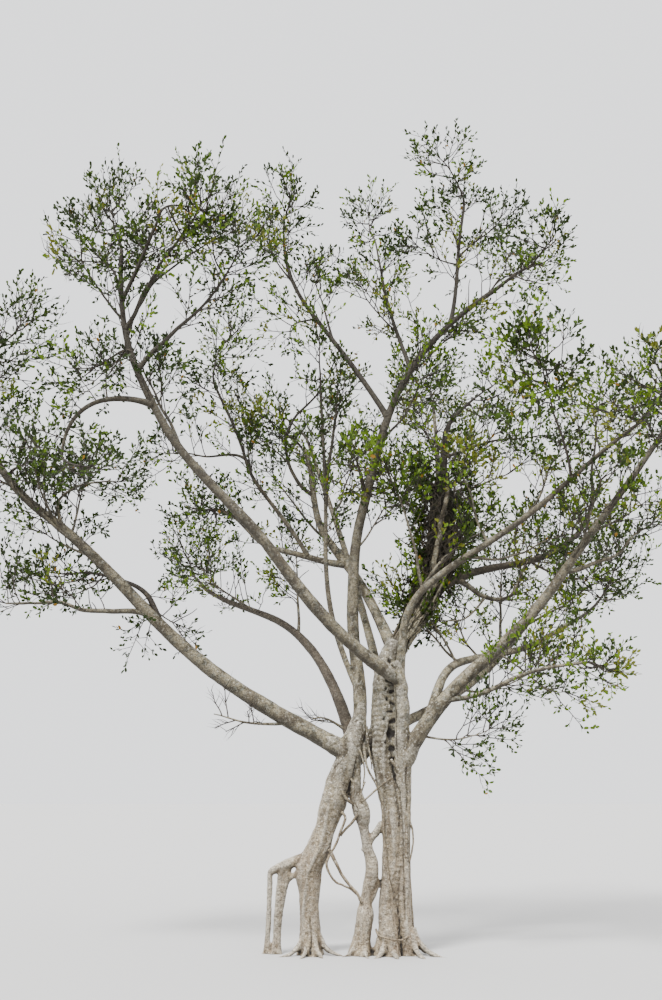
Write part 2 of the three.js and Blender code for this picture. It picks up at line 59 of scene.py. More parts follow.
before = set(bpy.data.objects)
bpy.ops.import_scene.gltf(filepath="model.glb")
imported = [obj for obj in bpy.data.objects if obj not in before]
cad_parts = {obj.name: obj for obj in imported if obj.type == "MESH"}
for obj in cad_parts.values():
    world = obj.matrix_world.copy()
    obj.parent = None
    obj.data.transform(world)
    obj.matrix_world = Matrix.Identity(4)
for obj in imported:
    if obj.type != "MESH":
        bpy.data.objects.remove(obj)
CAD_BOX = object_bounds()
BODY = "root"

# Trunk and prop roots: each strand is a line of places (x, y, z) with its radius there

COLUMN = [
    (-0.008, 0, -0.04, 0.172), (-0.006, 0, 0.11, 0.142), (-0.003, 0, 0.3, 0.106),
    (0, 0.005, 0.56, 0.092), (0.04, 0.005, 0.9, 0.108), (0.05, 0, 1.18, 0.11),
    (0.03, 0, 1.52, 0.1), (-0.025, 0, 1.8, 0.104), (-0.056, 0, 2.05, 0.112),
    (-0.057, 0, 2.38, 0.116), (-0.038, 0, 2.7, 0.11), (-0.015, 0.005, 2.9, 0.106),
    (0.045, 0.01, 3.08, 0.1), (0.105, 0.015, 3.24, 0.092),
]
RIGHT_STEM = [
    (0.215, -0.03, -0.04, 0.104), (0.185, -0.03, 0.13, 0.072), (0.16, -0.035, 0.42, 0.056),
    (0.15, -0.04, 0.9, 0.054), (0.168, -0.05, 1.3, 0.056), (0.155, -0.06, 1.7, 0.074),
    (0.15, -0.075, 1.95, 0.09), (0.152, -0.09, 2.2, 0.088), (0.16, -0.105, 2.5, 0.076),
    (0.14, -0.112, 2.86, 0.07), (0.145, -0.115, 3.0, 0.05),
]
LEFT_TRUNK = [
    (-0.56, -0.01, 1.66, 0.118), (-0.5, -0.015, 1.8, 0.128), (-0.42, -0.02, 1.95, 0.134),
    (-0.395, -0.02, 2.09, 0.128), (-0.34, -0.005, 2.24, 0.1), (-0.295, 0.01, 2.42, 0.07),
    (-0.265, 0.015, 2.56, 0.035),
]
FORK_WEB = [(-0.42, 0.06, 1.9, 0.096), (-0.26, 0.075, 2.08, 0.112), (-0.08, 0.06, 2.24, 0.1)]
LEFT_LEG = [
    (-0.81, -0.02, -0.04, 0.14), (-0.824, -0.015, 0.11, 0.112), (-0.838, 0, 0.4, 0.1),
    (-0.846, 0, 0.62, 0.108), (-0.85, 0.005, 0.83, 0.132), (-0.752, 0.005, 1.02, 0.13),
    (-0.676, 0, 1.22, 0.108), (-0.592, -0.005, 1.5, 0.134), (-0.53, -0.01, 1.74, 0.124),
]
MIDDLE_ROOT = [
    (-0.3, -0.025, -0.04, 0.128), (-0.288, -0.02, 0.14, 0.092), (-0.256, -0.015, 0.39, 0.088),
    (-0.244, -0.01, 0.54, 0.062), (-0.18, -0.01, 0.82, 0.072), (-0.218, -0.01, 1.03, 0.052),
    (-0.262, -0.01, 1.23, 0.05), (-0.284, -0.012, 1.41, 0.092), (-0.342, -0.015, 1.6, 0.064),
    (-0.36, -0.015, 1.9, 0.072),
]
MIDDLE_ROOT_BRANCH = [
    (-0.262, -0.01, 1.0, 0.04), (-0.17, -0.005, 1.15, 0.036), (-0.06, 0, 1.29, 0.04),
]
PROP_ARM = [
    (-0.8, 0.015, 0.96, 0.054), (-0.95, 0.03, 0.93, 0.05), (-1.08, 0.05, 0.868, 0.052),
    (-1.18, 0.06, 0.836, 0.042), (-1.262, 0.07, 0.79, 0.032),
]
PROP_FOOT = [
    (-1.18, 0.07, -0.04, 0.062), (-1.174, 0.066, 0.14, 0.042), (-1.156, 0.06, 0.48, 0.038),
    (-1.125, 0.056, 0.85, 0.044),
]
OUTER_PROP_FOOT = [
    (-1.29, 0.08, -0.04, 0.044), (-1.276, 0.078, 0.13, 0.029), (-1.262, 0.074, 0.48, 0.026),
    (-1.256, 0.07, 0.81, 0.03),
]
BACK_LEG = [
    (0.11, 0.64, -0.04, 0.14), (0.106, 0.61, 0.13, 0.1), (0.09, 0.54, 0.48, 0.08),
    (0.08, 0.43, 0.95, 0.074), (0.07, 0.3, 1.42, 0.08), (0.05, 0.15, 1.86, 0.088),
    (0.03, 0.04, 2.12, 0.088),
]
LOWER_PROP_ARM = [
    (-0.88, 0.0, 0.83, 0.036), (-0.97, 0.02, 0.79, 0.026), (-1.06, 0.045, 0.72, 0.024),
    (-1.11, 0.052, 0.64, 0.028),
]
PROP_FOOT_WEB = [
    (-1.06, 0.05, 0.86, 0.036), (-1.085, 0.052, 0.72, 0.034), (-1.12, 0.055, 0.5, 0.024),
    (-1.145, 0.06, 0.3, 0.02),
]
COLUMN_WEB = [
    (0.1, -0.03, 1.85, 0.04), (0.075, -0.042, 2.05, 0.052), (0.07, -0.045, 2.3, 0.056),
    (0.066, -0.045, 2.6, 0.056), (0.07, -0.04, 2.85, 0.054), (0.085, -0.04, 3.0, 0.045),
]
MIDDLE_ROOT_LOOP = [
    (-0.165, -0.012, 0.84, 0.03), (-0.128, -0.012, 0.73, 0.024), (-0.145, -0.012, 0.62, 0.024),
    (-0.2, -0.012, 0.53, 0.034),
]

# Each strand of the trunk with the count, spread and first turn of its foot's toes

STRANDS = [
    (COLUMN, 4, 0.15, 20), (RIGHT_STEM, 3, 0.15, 0), (LEFT_TRUNK, 0, 0, 0), (FORK_WEB, 0, 0, 0),
    (LEFT_LEG, 3, 0.15, 200), (MIDDLE_ROOT, 3, 0.15, 90), (MIDDLE_ROOT_BRANCH, 0, 0, 0),
    (PROP_ARM, 0, 0, 0), (PROP_FOOT, 3, 0.2, 0), (OUTER_PROP_FOOT, 3, 0.2, 0),
    (BACK_LEG, 3, 0.3, 60), (LOWER_PROP_ARM, 0, 0, 0), (PROP_FOOT_WEB, 0, 0, 0),
    (MIDDLE_ROOT_LOOP, 0, 0, 0), (COLUMN_WEB, 0, 0, 0),
]

# Toes that run out over the ground: the foot's middle and how far out they start, then each one's
# heading, height at its start, reach and radius

TOES = [
    ((-0.82, -0.015, 0.085), [(205, 0.2, 0.27, 0.03), (250, 0.15, 0.22, 0.026),
                              (298, 0.19, 0.23, 0.03), (345, 0.2, 0.34, 0.027),
                              (100, 0.2, 0.26, 0.03)]),
    ((-0.295, -0.025, 0.06), [(215, 0.17, 0.22, 0.022), (285, 0.14, 0.18, 0.024),
                              (80, 0.16, 0.2, 0.022)]),
    ((0.0, 0.0, 0.1), [(188, 0.16, 0.2, 0.034), (238, 0.2, 0.24, 0.034), (282, 0.13, 0.22, 0.03),
                       (95, 0.2, 0.28, 0.034)]),
    ((0.2, -0.03, 0.05), [(298, 0.22, 0.26, 0.028), (336, 0.26, 0.36, 0.028), (18, 0.2, 0.3, 0.026)]),
    ((0.108, 0.62, 0.08), [(55, 0.18, 0.26, 0.03), (120, 0.2, 0.24, 0.028), (5, 0.16, 0.28, 0.026)]),
]

# Clefts between roots that have grown side by side: half width, depth, and the (x, z) places

CLEFTS = [
    (0.007, 0.014, [(0.05, 1.84), (0.117, 1.62), (0.135, 1.4), (0.148, 1.1), (0.152, 0.8),
                    (0.152, 0.35)]),
    (0.006, 0.008, [(-0.045, 0.86), (0.012, 0.7), (0.066, 0.54), (0.096, 0.33), (0.079, 0.0)]),
    (0.006, 0.007, [(0.1, 2.85), (0.095, 2.6), (0.09, 2.35), (0.092, 2.1), (0.1, 1.95)]),
    (0.007, 0.014, [(-0.335, 1.98), (-0.36, 1.86), (-0.4, 1.72), (-0.44, 1.6)]),
    (0.009, 0.016, [(0.2, 1.86), (0.185, 1.74), (0.2, 1.6), (0.19, 1.42)]),
    (0.008, 0.014, [(-0.83, 0.36), (-0.81, 0.2), (-0.82, 0.02)]),
    (0.008, 0.012, [(-0.58, 1.86), (-0.5, 1.93), (-0.44, 2.05)]),
]

# Ridges that stand out along a strand: the strand, the turn round it, the span in height, the radius

RIDGES = [
    (COLUMN, 250, 0, 1.75, 0.014), (COLUMN, 330, 0.1, 2.6, 0.022), (COLUMN, 205, 0.9, 2.3, 0.024),
    (COLUMN, 290, 1.6, 2.9, 0.022), (COLUMN, 100, 0, 2.6, 0.03), (COLUMN, 20, 0.3, 2.8, 0.026),
    (COLUMN, 160, 0.2, 2.2, 0.024), (RIGHT_STEM, 300, 0, 1.5, 0.02), (RIGHT_STEM, 230, 0.1, 1.7, 0.018),
    (RIGHT_STEM, 20, 0, 2.2, 0.024), (LEFT_LEG, 250, 0.2, 1.6, 0.024), (LEFT_LEG, 330, 0.9, 1.7, 0.03),
    (LEFT_LEG, 90, 0, 1.6, 0.03), (MIDDLE_ROOT, 240, 0, 0.5, 0.016), (BACK_LEG, 80, 0, 1.9, 0.022),
    (BACK_LEG, 200, 0.2, 1.8, 0.018),
]

# Aerial rootlets on and between the legs: their radius, and the places that they run through

ROOTLETS = [
    (0.011, [(0.03, -0.1, 1.75), (-0.07, -0.13, 1.69), (-0.14, -0.14, 1.63), (-0.28, -0.11, 1.52),
             (-0.29, -0.1, 1.6), (-0.24, -0.09, 1.72)]),
    (0.014, [(-0.5, -0.1, 1.41), (-0.46, -0.13, 1.35), (-0.5, -0.12, 1.23), (-0.57, -0.1, 1.07),
             (-0.64, -0.12, 0.95), (-0.655, -0.13, 0.87), (-0.62, -0.12, 0.79), (-0.55, -0.1, 0.71),
             (-0.42, -0.08, 0.65), (-0.32, -0.08, 0.57)]),
    (0.018, [(-0.63, -0.12, 1.04), (-0.58, -0.12, 0.94), (-0.46, -0.1, 0.73), (-0.34, -0.09, 0.6),
             (-0.29, -0.08, 0.5)]),
    (0.02, [(-0.52, -0.12, 1.68), (-0.49, -0.11, 1.6), (-0.43, -0.09, 1.53), (-0.36, -0.06, 1.48)]),
    (0.016, [(-0.3, -0.09, 1.44), (-0.36, -0.08, 1.34), (-0.45, -0.09, 1.24), (-0.51, -0.1, 1.17)]),
    (0.012, [(-0.26, -0.1, 2.12), (-0.245, -0.13, 2.0), (-0.22, -0.13, 1.86), (-0.13, -0.13, 1.69),
             (-0.07, -0.12, 1.55), (-0.055, -0.11, 1.23), (-0.03, -0.11, 0.9), (0.02, -0.12, 0.55),
             (0.06, -0.14, 0.2), (0.07, -0.18, 0)]),
    (0.009, [(-0.3, -0.1, 2.05), (-0.27, -0.12, 1.95), (-0.25, -0.1, 1.8), (-0.27, -0.09, 1.66)]),
    (0.01, [(-0.22, -0.05, 2.3), (-0.215, -0.09, 2.15), (-0.19, -0.1, 2.0), (-0.17, -0.11, 1.85)]),
    (0.012, [(0.2, -0.08, 1.75), (0.215, -0.1, 1.5), (0.225, -0.09, 1.33), (0.255, -0.08, 1.2),
             (0.25, -0.07, 1.05), (0.21, -0.06, 0.9)]),
    (0.022, [(0.19, 0.0, 1.8), (0.215, 0.01, 1.4), (0.21, 0.02, 0.9), (0.23, 0.02, 0.4),
             (0.27, 0.03, 0)]),
    (0.011, [(-0.14, 0.02, 0.24), (-0.12, -0.12, 0.2), (0.0, -0.17, 0.17), (0.1, -0.16, 0.16),
             (0.2, -0.1, 0.19)]),
    (0.016, [(0.03, -0.11, 1.95), (0.1, -0.13, 1.85), (0.15, -0.13, 1.75), (0.18, -0.11, 1.6),
             (0.17, -0.1, 1.4), (0.185, -0.1, 1.2), (0.175, -0.1, 0.95)]),
    (0.008, [(-0.4, -0.14, 1.75), (-0.36, -0.12, 1.66), (-0.37, -0.11, 1.55), (-0.33, -0.11, 1.46)]),
    (0.012, [(0.02, 0.12, 2.1), (0.0, 0.16, 1.5), (0.04, 0.15, 0.9), (0.02, 0.17, 0.3), (0.0, 0.22, 0)]),
    (0.013, [(-0.5, 0.12, 1.6), (-0.62, 0.14, 1.2), (-0.7, 0.15, 0.9), (-0.76, 0.14, 0.4),
             (-0.8, 0.18, 0)]),
]

# The ladder of hollows between roots in the front of the column: x, z and the two half sizes of each

HOLLOW_DEPTH = 0.024
HOLLOWS = [
    (0.03, 3.0, 0.02, 0.03), (0.045, 2.9, 0.026, 0.018), (0.01, 2.8, 0.016, 0.026),
    (0.055, 2.77, 0.03, 0.017), (-0.02, 2.7, 0.012, 0.012), (0.05, 2.67, 0.028, 0.024),
    (0.005, 2.58, 0.018, 0.024), (0.055, 2.54, 0.026, 0.018), (0.03, 2.45, 0.036, 0.02),
    (-0.03, 2.38, 0.014, 0.014), (0.052, 2.35, 0.03, 0.026), (0.035, 2.21, 0.042, 0.05),
    (-0.02, 2.13, 0.016, 0.016), (0.04, 2.06, 0.036, 0.026), (0.05, 1.95, 0.026, 0.02),
]

# Boughs, as in the solids. A bough starts at a place on the trunk, or on another at a fraction of it.
# Its heading and its rise are given at even distances along it. One with a foot starts slimmer in the
# trunk, by that share. A row may leave out its last values.

BOUGH_VALUES = ("name", "start", "length", "base", "tip", "heading", "rise", "foot")
BRANCH_VALUES = ("name", "on", "at", "length", "base", "tip", "heading", "rise", "sparse", "bare")
LIMBS = [dict(zip(BOUGH_VALUES, row)) for row in (
    ("low_left", (-0.43, -0.03, 2.03), 5.75, 0.092, 0.036, (188, 186, 176),
     (27, 28, 33, 41, 46, 43, 36, 54, 78)),
    ("upper_left", (0.13, -0.13, 2.8), 5.8, 0.076, 0.026, (214, 198, 190, 186),
     (24, 34, 46, 52, 43, 46, 60, 66, 82, 87), 0.72),
    ("centre", (-0.365, 0.02, 2.09), 5.95, 0.08, 0.028, (0, 355, 350, 345),
     (74, 80, 86, 88, 76, 76, 70, 55, 40, 30)),
    ("grey", (0.09, 0.05, 3.13), 2.9, 0.066, 0.03, (138, 155, 165), (64, 62, 59, 51, 56, 80, 84, 66)),
    ("tangled", (0.11, 0.06, 3.12), 2.8, 0.092, 0.044, (42, 30), (56, 51, 60, 74, 86, 87, 82)),
    ("right_diagonal", (0.14, -0.115, 2.79), 3.9, 0.05, 0.022, (345, 330),
     (86, 82, 38, 28, 30, 36, 36, 30)),
    ("low_right", (0.19, -0.07, 1.97), 4.6, 0.084, 0.028, (350, 352, 356),
     (60, 50, 38, 46, 54, 52, 52, 55)),
    ("back_left", (-0.37, 0.07, 2.12), 3.3, 0.07, 0.026, (118, 140, 150), (62, 58, 50, 38, 22, 20, 32)),
    ("back_high", (-0.02, 0.08, 2.62), 4.5, 0.056, 0.024, (98, 112, 128), (46, 52, 58, 60, 64)),
    ("back_centre", (0.0, 0.08, 2.9), 4.6, 0.058, 0.024, (58, 62, 75, 95), (48, 50, 58, 66, 72)),
    ("back_right", (0.06, 0.07, 2.3), 4.1, 0.058, 0.024, (38, 42, 44), (18, 26, 36, 44, 48)),
)] + [dict(zip(BRANCH_VALUES, row)) for row in (
    ("left_arch", "upper_left", 0.7, 1.3, 0.036, 0.016, 188, (20, 4, -14, -44, -72, -88)),
    ("mid_left", "upper_left", 0.92, 1.0, 0.024, 0.016, 325, (56, 60, 62)),
    ("centre_left", "centre", 0.655, 2.85, 0.036, 0.02, 165, (61, 58, 56, 55, 67, 87)),
    ("crown", "centre", 0.765, 1.5, 0.026, 0.017, 145, (72, 71, 76, 82)),
    ("top", "centre", 0.89, 1.68, 0.028, 0.017, 20, (75, 82, 85, 81, 80)),
    ("slender", "centre", 0.1, 3.7, 0.036, 0.017, 175, (64, 72, 84, 91, 88, 87, 87)),
    ("grey_left", "grey", 0.43, 1.8, 0.042, 0.02, 165, (4, 18, 18, 14, 46, 46, 22)),
    ("left_rise", "grey_left", 0.27, 2.6, 0.028, 0.016, 172, (63, 55, 53, 55, 74, 68, 64, 66)),
    ("dark_right", "tangled", 0.27, 3.2, 0.056, 0.024, (16, 30), (42, 32, 18, 12, 16, 28, 40, 60, 88)),
    ("right_side", "low_right", 0.115, 2.6, 0.056, 0.025, (56, 26, 20), (70, 55, 16, 10, 16, 30, 28)),
    ("low_under", "low_right", 0.165, 1.6, 0.03, 0.015, 335, (-4, 12, 25, 16, 5, 4)),
)]

# Side branches, finer than the solids' boughs, which end in sprays of leaves. One that is bare has no
# leaves, and sparse is how much wider than usual the gaps between its shoots are.

SIDE_BRANCHES = [dict(zip(BRANCH_VALUES, row)) for row in (
    ("low_left_outer", "low_left", 0.65, 1.1, 0.024, 0.009, 190, (28, 40, 45, 20)),
    ("low_left_mid", "low_left", 0.61, 0.72, 0.018, 0.007, 165, (20, 30, 38)),
    ("low_left_turned", "low_left", 0.705, 1.02, 0.02, 0.007, 10, (102, 95, 40, 25, 5, -10)),
    ("low_left_under", "low_left", 0.53, 0.7, 0.018, 0.006, 20, (-30, -35, -20)),
    ("low_left_first", "low_left", 0.12, 0.88, 0.02, 0.006, 190, (-8, -3, 14, 16), 1, True),
    ("low_left_low", "low_left", 0.455, 1.6, 0.034, 0.01, 180, (10, 15, 0, 6, 8, 3, 2)),
    ("centre_left_hook", "centre_left", 0.58, 0.42, 0.014, 0.006, 180, (-5, -15, -40, -85)),
    ("top_right", "top", 0.55, 0.65, 0.014, 0.006, 350, (42, 38, 30)),
    ("top_left", "top", 0.5, 0.5, 0.012, 0.005, 190, (3, 20, 35)),
    ("slender_pair", "slender", 0.64, 1.35, 0.026, 0.012, 10, (84, 86, 85, 84, 82)),
    ("slender_right", "slender", 0.7, 0.5, 0.012, 0.005, 340, (-20, -33, -24)),
    ("slender_level", "slender", 0.73, 0.46, 0.011, 0.005, 20, (28, 8, 0)),
    ("left_rise_level", "left_rise", 0.58, 1.0, 0.018, 0.006, 185, (15, 0, -3, 5)),
    ("grey_inner", "grey", 0.78, 1.86, 0.026, 0.01, 175, (30, 55, 60, 80, 95, 130, 135, 130, 135), 1.6),
    ("grey_inner_left", "grey_inner", 0.3, 0.5, 0.013, 0.005, 190, (53, 40, 32)),
    ("tangled_right", "tangled", 0.97, 1.3, 0.02, 0.007, 8, (21, 19, 9, 7)),
    ("dark_hook", "dark_right", 0.17, 1.25, 0.034, 0.012, 10, (-25, -31, -5, 50, 60, 38)),
    ("diagonal_upper", "right_diagonal", 0.24, 1.3, 0.024, 0.008, 10, (55, 54, 50, 40, 25, 45)),
    ("diagonal_left", "right_diagonal", 0.27, 1.4, 0.02, 0.007, 175, (80, 81, 74, 68)),
    ("diagonal_far", "right_diagonal", 0.62, 1.0, 0.016, 0.006, 10, (50, 62, 70)),
    ("low_right_side", "low_right", 0.585, 1.3, 0.028, 0.008, 10, (12, 18, 48, 30)),
    ("low_right_high", "low_right", 0.7, 0.7, 0.016, 0.006, 350, (25, 28, 35)),
    ("low_right_first", "low_right", 0.06, 0.8, 0.014, 0.005, 355, (-13, 2, 34)),
    ("right_side_droop", "right_side", 0.55, 0.9, 0.014, 0.005, 350, (-30, -42, -40, 8)),
    ("back_left_loop", "back_left", 0.04, 0.46, 0.022, 0.008, 185, (45, 30, -25), 1, True),
    ("upper_left_inner", "upper_left", 0.6, 1.3, 0.022, 0.008, 150, (70, 62, 55, 60)),
    ("upper_left_outer", "upper_left", 0.88, 0.8, 0.016, 0.006, 200, (40, 55, 60)),
    ("upper_left_second", "upper_left", 0.86, 1.75, 0.026, 0.008, 352, (58, 64, 56, 66)),
    ("upper_left_third", "upper_left", 0.775, 1.9, 0.028, 0.008, 8, (49, 46, 55, 80)),
    ("upper_left_fork", "upper_left", 0.93, 0.9, 0.018, 0.006, 190, (70, 50, 60)),
    ("centre_mid", "centre", 0.6, 1.0, 0.018, 0.006, 10, (50, 60, 66)),
    ("centre_up", "centre", 0.72, 0.9, 0.018, 0.006, 15, (60, 45, 55)),
    ("centre_end", "centre", 0.96, 0.8, 0.016, 0.006, 15, (40, 60, 75)),
    ("crown_side", "crown", 0.4, 0.7, 0.012, 0.005, 190, (40, 55, 65)),
    ("centre_left_up", "centre_left", 0.45, 1.0, 0.016, 0.006, 150, (75, 70, 72), 1.4),
    ("centre_left_out", "centre_left", 0.8, 0.8, 0.013, 0.005, 185, (45, 60, 66)),
    ("far_left_out", "low_left", 0.93, 0.7, 0.016, 0.006, 200, (45, 60, 70)),
    ("diagonal_under", "right_diagonal", 0.42, 1.2, 0.018, 0.006, 12, (5, 12, 20, 30)),
    ("diagonal_over", "right_diagonal", 0.5, 1.0, 0.016, 0.006, 168, (70, 75, 70)),
    ("dark_right_low", "dark_right", 0.5, 0.9, 0.016, 0.006, 15, (-30, -20, 0, 15)),
    ("hook_under", "dark_hook", 0.3, 0.8, 0.014, 0.005, (200, 185), (-60, -35, -10, 5)),
    ("side_over", "right_side", 0.32, 0.95, 0.016, 0.006, 165, (40, 52, 60)),
    ("back_high_left", "back_high", 0.55, 1.5, 0.024, 0.007, 175, (38, 50, 62), 2.2),
    ("back_high_right", "back_high", 0.72, 1.1, 0.02, 0.006, 65, (45, 58, 66), 2.2),
    ("back_centre_left", "back_centre", 0.55, 1.4, 0.024, 0.007, 140, (40, 52, 64)),
    ("back_centre_right", "back_centre", 0.66, 1.3, 0.022, 0.006, 5, (40, 50, 60)),
    ("back_right_up", "back_right", 0.5, 1.5, 0.024, 0.007, 75, (55, 62, 68)),
    ("back_right_out", "back_right", 0.68, 1.0, 0.018, 0.006, 345, (20, 32, 44)),
    ("back_left_up", "back_left", 0.5, 1.3, 0.022, 0.006, 95, (60, 66, 62)),
    ("back_left_out", "back_left", 0.72, 0.9, 0.016, 0.006, 180, (25, 38, 50)),
    ("tangled_back", "tangled", 0.93, 1.3, 0.022, 0.006, 100, (30, 45, 60)),
    ("low_right_front", "low_right", 0.62, 1.0, 0.018, 0.006, 285, (35, 48, 58)),
    ("low_left_front", "low_left", 0.72, 0.9, 0.016, 0.006, 255, (35, 48, 58)),
    ("low_left_back", "low_left", 0.68, 1.1, 0.018, 0.006, 95, (35, 50, 60)),
    ("right_side_in", "right_side", 0.3, 1.05, 0.015, 0.005, 172, (72, 60, 40, 30), 1.3),
    ("back_right_in", "back_right", 0.42, 1.2, 0.018, 0.006, 120, (40, 55, 68)),
    ("back_right_low", "back_right", 0.3, 1.0, 0.016, 0.005, 20, (-5, 15, 30), 1.3),
    ("left_rise_bare", "left_rise", 0.48, 1.15, 0.014, 0.004, 160, (72, 84, 80), 1, True),
    ("third_bare", "upper_left_third", 0.78, 0.8, 0.012, 0.004, 180, (60, 82, 95), 1, True),
    ("fork_bare", "upper_left_fork", 0.5, 0.6, 0.01, 0.004, 185, (10, -5, 25), 1, True),
    ("arch_bare", "left_arch", 0.38, 0.6, 0.01, 0.004, 175, (75, 92, 100), 1, True),
    ("centre_low", "centre", 0.375, 0.85, 0.013, 0.005, 355, (48, 60, 66, 60), 0.55),
    ("tangled_out", "tangled", 0.8, 1.0, 0.016, 0.006, 352, (6, 18, 30)),
)]

# Masses of foliage, as in the solids: the limb that bears each, the fraction of it, which is 1 at its
# tip, and its space. Its fullness says how many its twigs are and its leaf scale how large its leaves,
# where either isn't the usual.

MASS_VALUES = ("name", "on", "at", "centre", "size", "fullness", "leaf_scale")
MASSES = [dict(zip(MASS_VALUES, row)) for row in (
    ("foliage_upper_left", "upper_left", 1, (-3.09, -1.0, 7.87), (0.67, 0.75, 0.78)),
    ("foliage_mid_left", "mid_left", 1, (-1.98, -1.55, 7.6), (0.52, 0.62, 0.72)),
    ("foliage_inner_left", "upper_left", 0.84, (-1.725, -0.5, 8.04), (0.38, 0.45, 0.48)),
    ("foliage_centre_left", "centre_left", 1, (-1.18, 0.3, 8.79), (0.45, 0.56, 0.85)),
    ("foliage_crown", "crown", 1, (-0.093, 0.6, 8.87), (0.48, 0.56, 0.56)),
    ("foliage_top", "top", 1, (0.822, -0.2, 9.13), (0.57, 0.56, 0.54)),
    ("foliage_centre_right", "centre", 1, (1.79, -0.9, 7.61), (0.56, 0.64, 0.62)),
    ("foliage_fork", "right_diagonal", 0.79, (1.42, -2.0, 5.76), (0.68, 0.72, 0.64), 1.35, 1.12),
    ("foliage_right_diagonal", "right_diagonal", 1, (2.59, -2.0, 5.33), (0.76, 0.8, 0.8)),
    ("foliage_low_right", "low_right", 1, (3.47, -0.6, 5.83), (0.8, 0.85, 0.85)),
    ("foliage_far_left", "low_left", 1, (-4.31, -0.4, 6.71), (0.62, 0.7, 0.8), 1.3),
    ("foliage_left_shoulder", "upper_left", 0.8, (-3.21, -1.4, 5.85), (0.48, 0.56, 0.47)),
    ("foliage_left_arch", "left_arch", 1, (-3.136, -1.3, 4.89), (0.5, 0.56, 0.43)),
    ("foliage_low_left", "low_left", 0.85, (-4.03, -0.7, 5.02), (0.44, 0.52, 0.56), 0.7),
    ("foliage_left_side", "low_left", 0.43, (-3.78, 0.0, 3.97), (0.62, 0.6, 0.4)),
    ("foliage_left_rise", "left_rise", 1, (-1.94, 0.8, 7.13), (0.52, 0.6, 0.9)),
    ("foliage_grey_left", "grey_left", 1, (-2.18, 0.9, 4.97), (0.62, 0.64, 0.6)),
    ("foliage_grey", "grey", 0.92, (-1.24, 0.6, 5.96), (0.52, 0.56, 0.58), 0.42),
    ("foliage_slender", "slender", 1, (-0.76, -0.1, 6.65), (0.38, 0.42, 0.62), 0.5),
    ("foliage_centre", "centre", 0.48, (-0.335, -0.6, 5.11), (0.33, 0.34, 0.4), 0.5, 1.2),
    ("foliage_tangled", "tangled", 1, (1.45, 0.9, 6.61), (0.52, 0.56, 0.56)),
    ("foliage_dark_right", "dark_right", 1, (2.98, 1.3, 6.63), (0.64, 0.68, 0.64)),
    ("foliage_right_side", "right_side", 1, (2.92, 1.0, 4.39), (0.64, 0.64, 0.72)),
    ("foliage_low_under", "low_under", 1, (2.09, -0.9, 2.86), (0.48, 0.52, 0.34)),
    ("foliage_back_left", "back_left", 1, (-2.5, 2.3, 4.7), (0.75, 0.72, 0.65)),
    ("foliage_back_high", "back_high", 1, (-1.5, 2.7, 6.9), (0.85, 0.8, 0.75), 0.28),
    ("foliage_back_centre", "back_centre", 1, (0.87, 2.9, 7.3), (0.85, 0.85, 0.85)),
    ("foliage_back_right", "back_right", 1, (2.8, 2.7, 5.2), (0.82, 0.85, 0.8)),
)]

# The rule's own values, as in the solids

SUBSTEPS = 6
COLLAR = 0.22
GAP = 0.00035
SPRAY_LENGTH = 0.52
SPRAY_SWING = (0.8, 1.5)
STEM_BEYOND = 0.3
STEM_STRAIGHT = 0.4
STEM_AT_TIP = 0.95
STEM_AT_SIDE = 0.6
TWIGGED = 0.7
FIRST_TWIG = 0.25
LAST_TWIG = 0.98
TWIG_REACH = (0.88, 1)
SHORTEST_TWIG = 0.06
SPACE_SLACK = 1.12
GOLDEN_TURN = math.pi * (3 - math.sqrt(5))

# How far finer wood wanders from its plain bend, and over what distance

BRANCH_WANDER = 0.035
BRANCH_WANDER_CELL = 0.3
TWIG_WANDER = 0.022
TWIG_WANDER_CELL = 0.15

# Which limbs and nodes have which bark, the colours in which dark bark differs, and two of the names. The
# dark bark is a copy of the bark darkened as painted shade.

DARK_LIMBS = ("tangled", "dark_right", "back_left")
PALE_LIMBS = ("grey", "grey_left", "back_high", "back_centre", "back_right")
TRUNK_NODES = ("trunk", "leg_left", "leg_middle", "leg_far_left", "leg_back")
DARK_BARK = dict(grey=0x5E5446, olive=0x473E32, cool=0x4C4A42, streak=0x3C3429, lichen=0x766C5C)
TRUNK_BARK = "grey fig bark"
PALE_BARK = "pale fig bark"

# The sleeve of hanging roots: the bough that bears it, from where to where along it, and how thick

TANGLE = dict(name="tangle", on="tangled", start=0.14, end=0.9, radius=0.265)

# Regions that the twigs and the leaves are joined by, and the planes that part them

REGIONS = ("left", "left_high", "right", "right_high", "back")
RIGHT_FROM = -0.9
BACK_FROM = 1.7
HIGH_FROM = 6.3

# What starts each thing that is dealt out at random

SEEDS = dict(relief=11, rootlets=40, boughs=60, tangle=77, masses=101, branches=300, shoots=500,
             front_root=620, clasping_roots=640, tangle_core=5, foliage=2026)
MASS_SEED_STEP = 17

# Small tools


def linear(hex_colour):
    """The linear colour of an sRGB hex value."""
    parts = [((hex_colour >> shift) & 255) / 255 for shift in (16, 8, 0)]
    light = [c / 12.92 if c <= 0.04045 else ((c + 0.055) / 1.055) ** 2.4 for c in parts]
    return (*light, 1.0)


def within(span, t):
    """The value at fraction t of a span from least to most."""
    return span[0] + (span[1] - span[0]) * t


def unit(vectors):
    """Vectors brought to length 1."""
    length = np.linalg.norm(vectors, axis=-1, keepdims=True)
    return vectors / np.maximum(length, 1e-12)


def value_at(values, t):
    """The value at fraction t of evenly spaced values, or a plain number."""
    if np.isscalar(values):
        return np.full(np.shape(t), float(values))
    return np.interp(t, np.linspace(0, 1, len(values)), values)


def way_of(heading, rise):
    """The unit vector of a heading and a rise, both in degrees."""
    h = np.radians(heading)
    r = np.radians(rise)
    return np.stack([np.cos(h) * np.cos(r), np.sin(h) * np.cos(r), np.sin(r)], axis=-1)


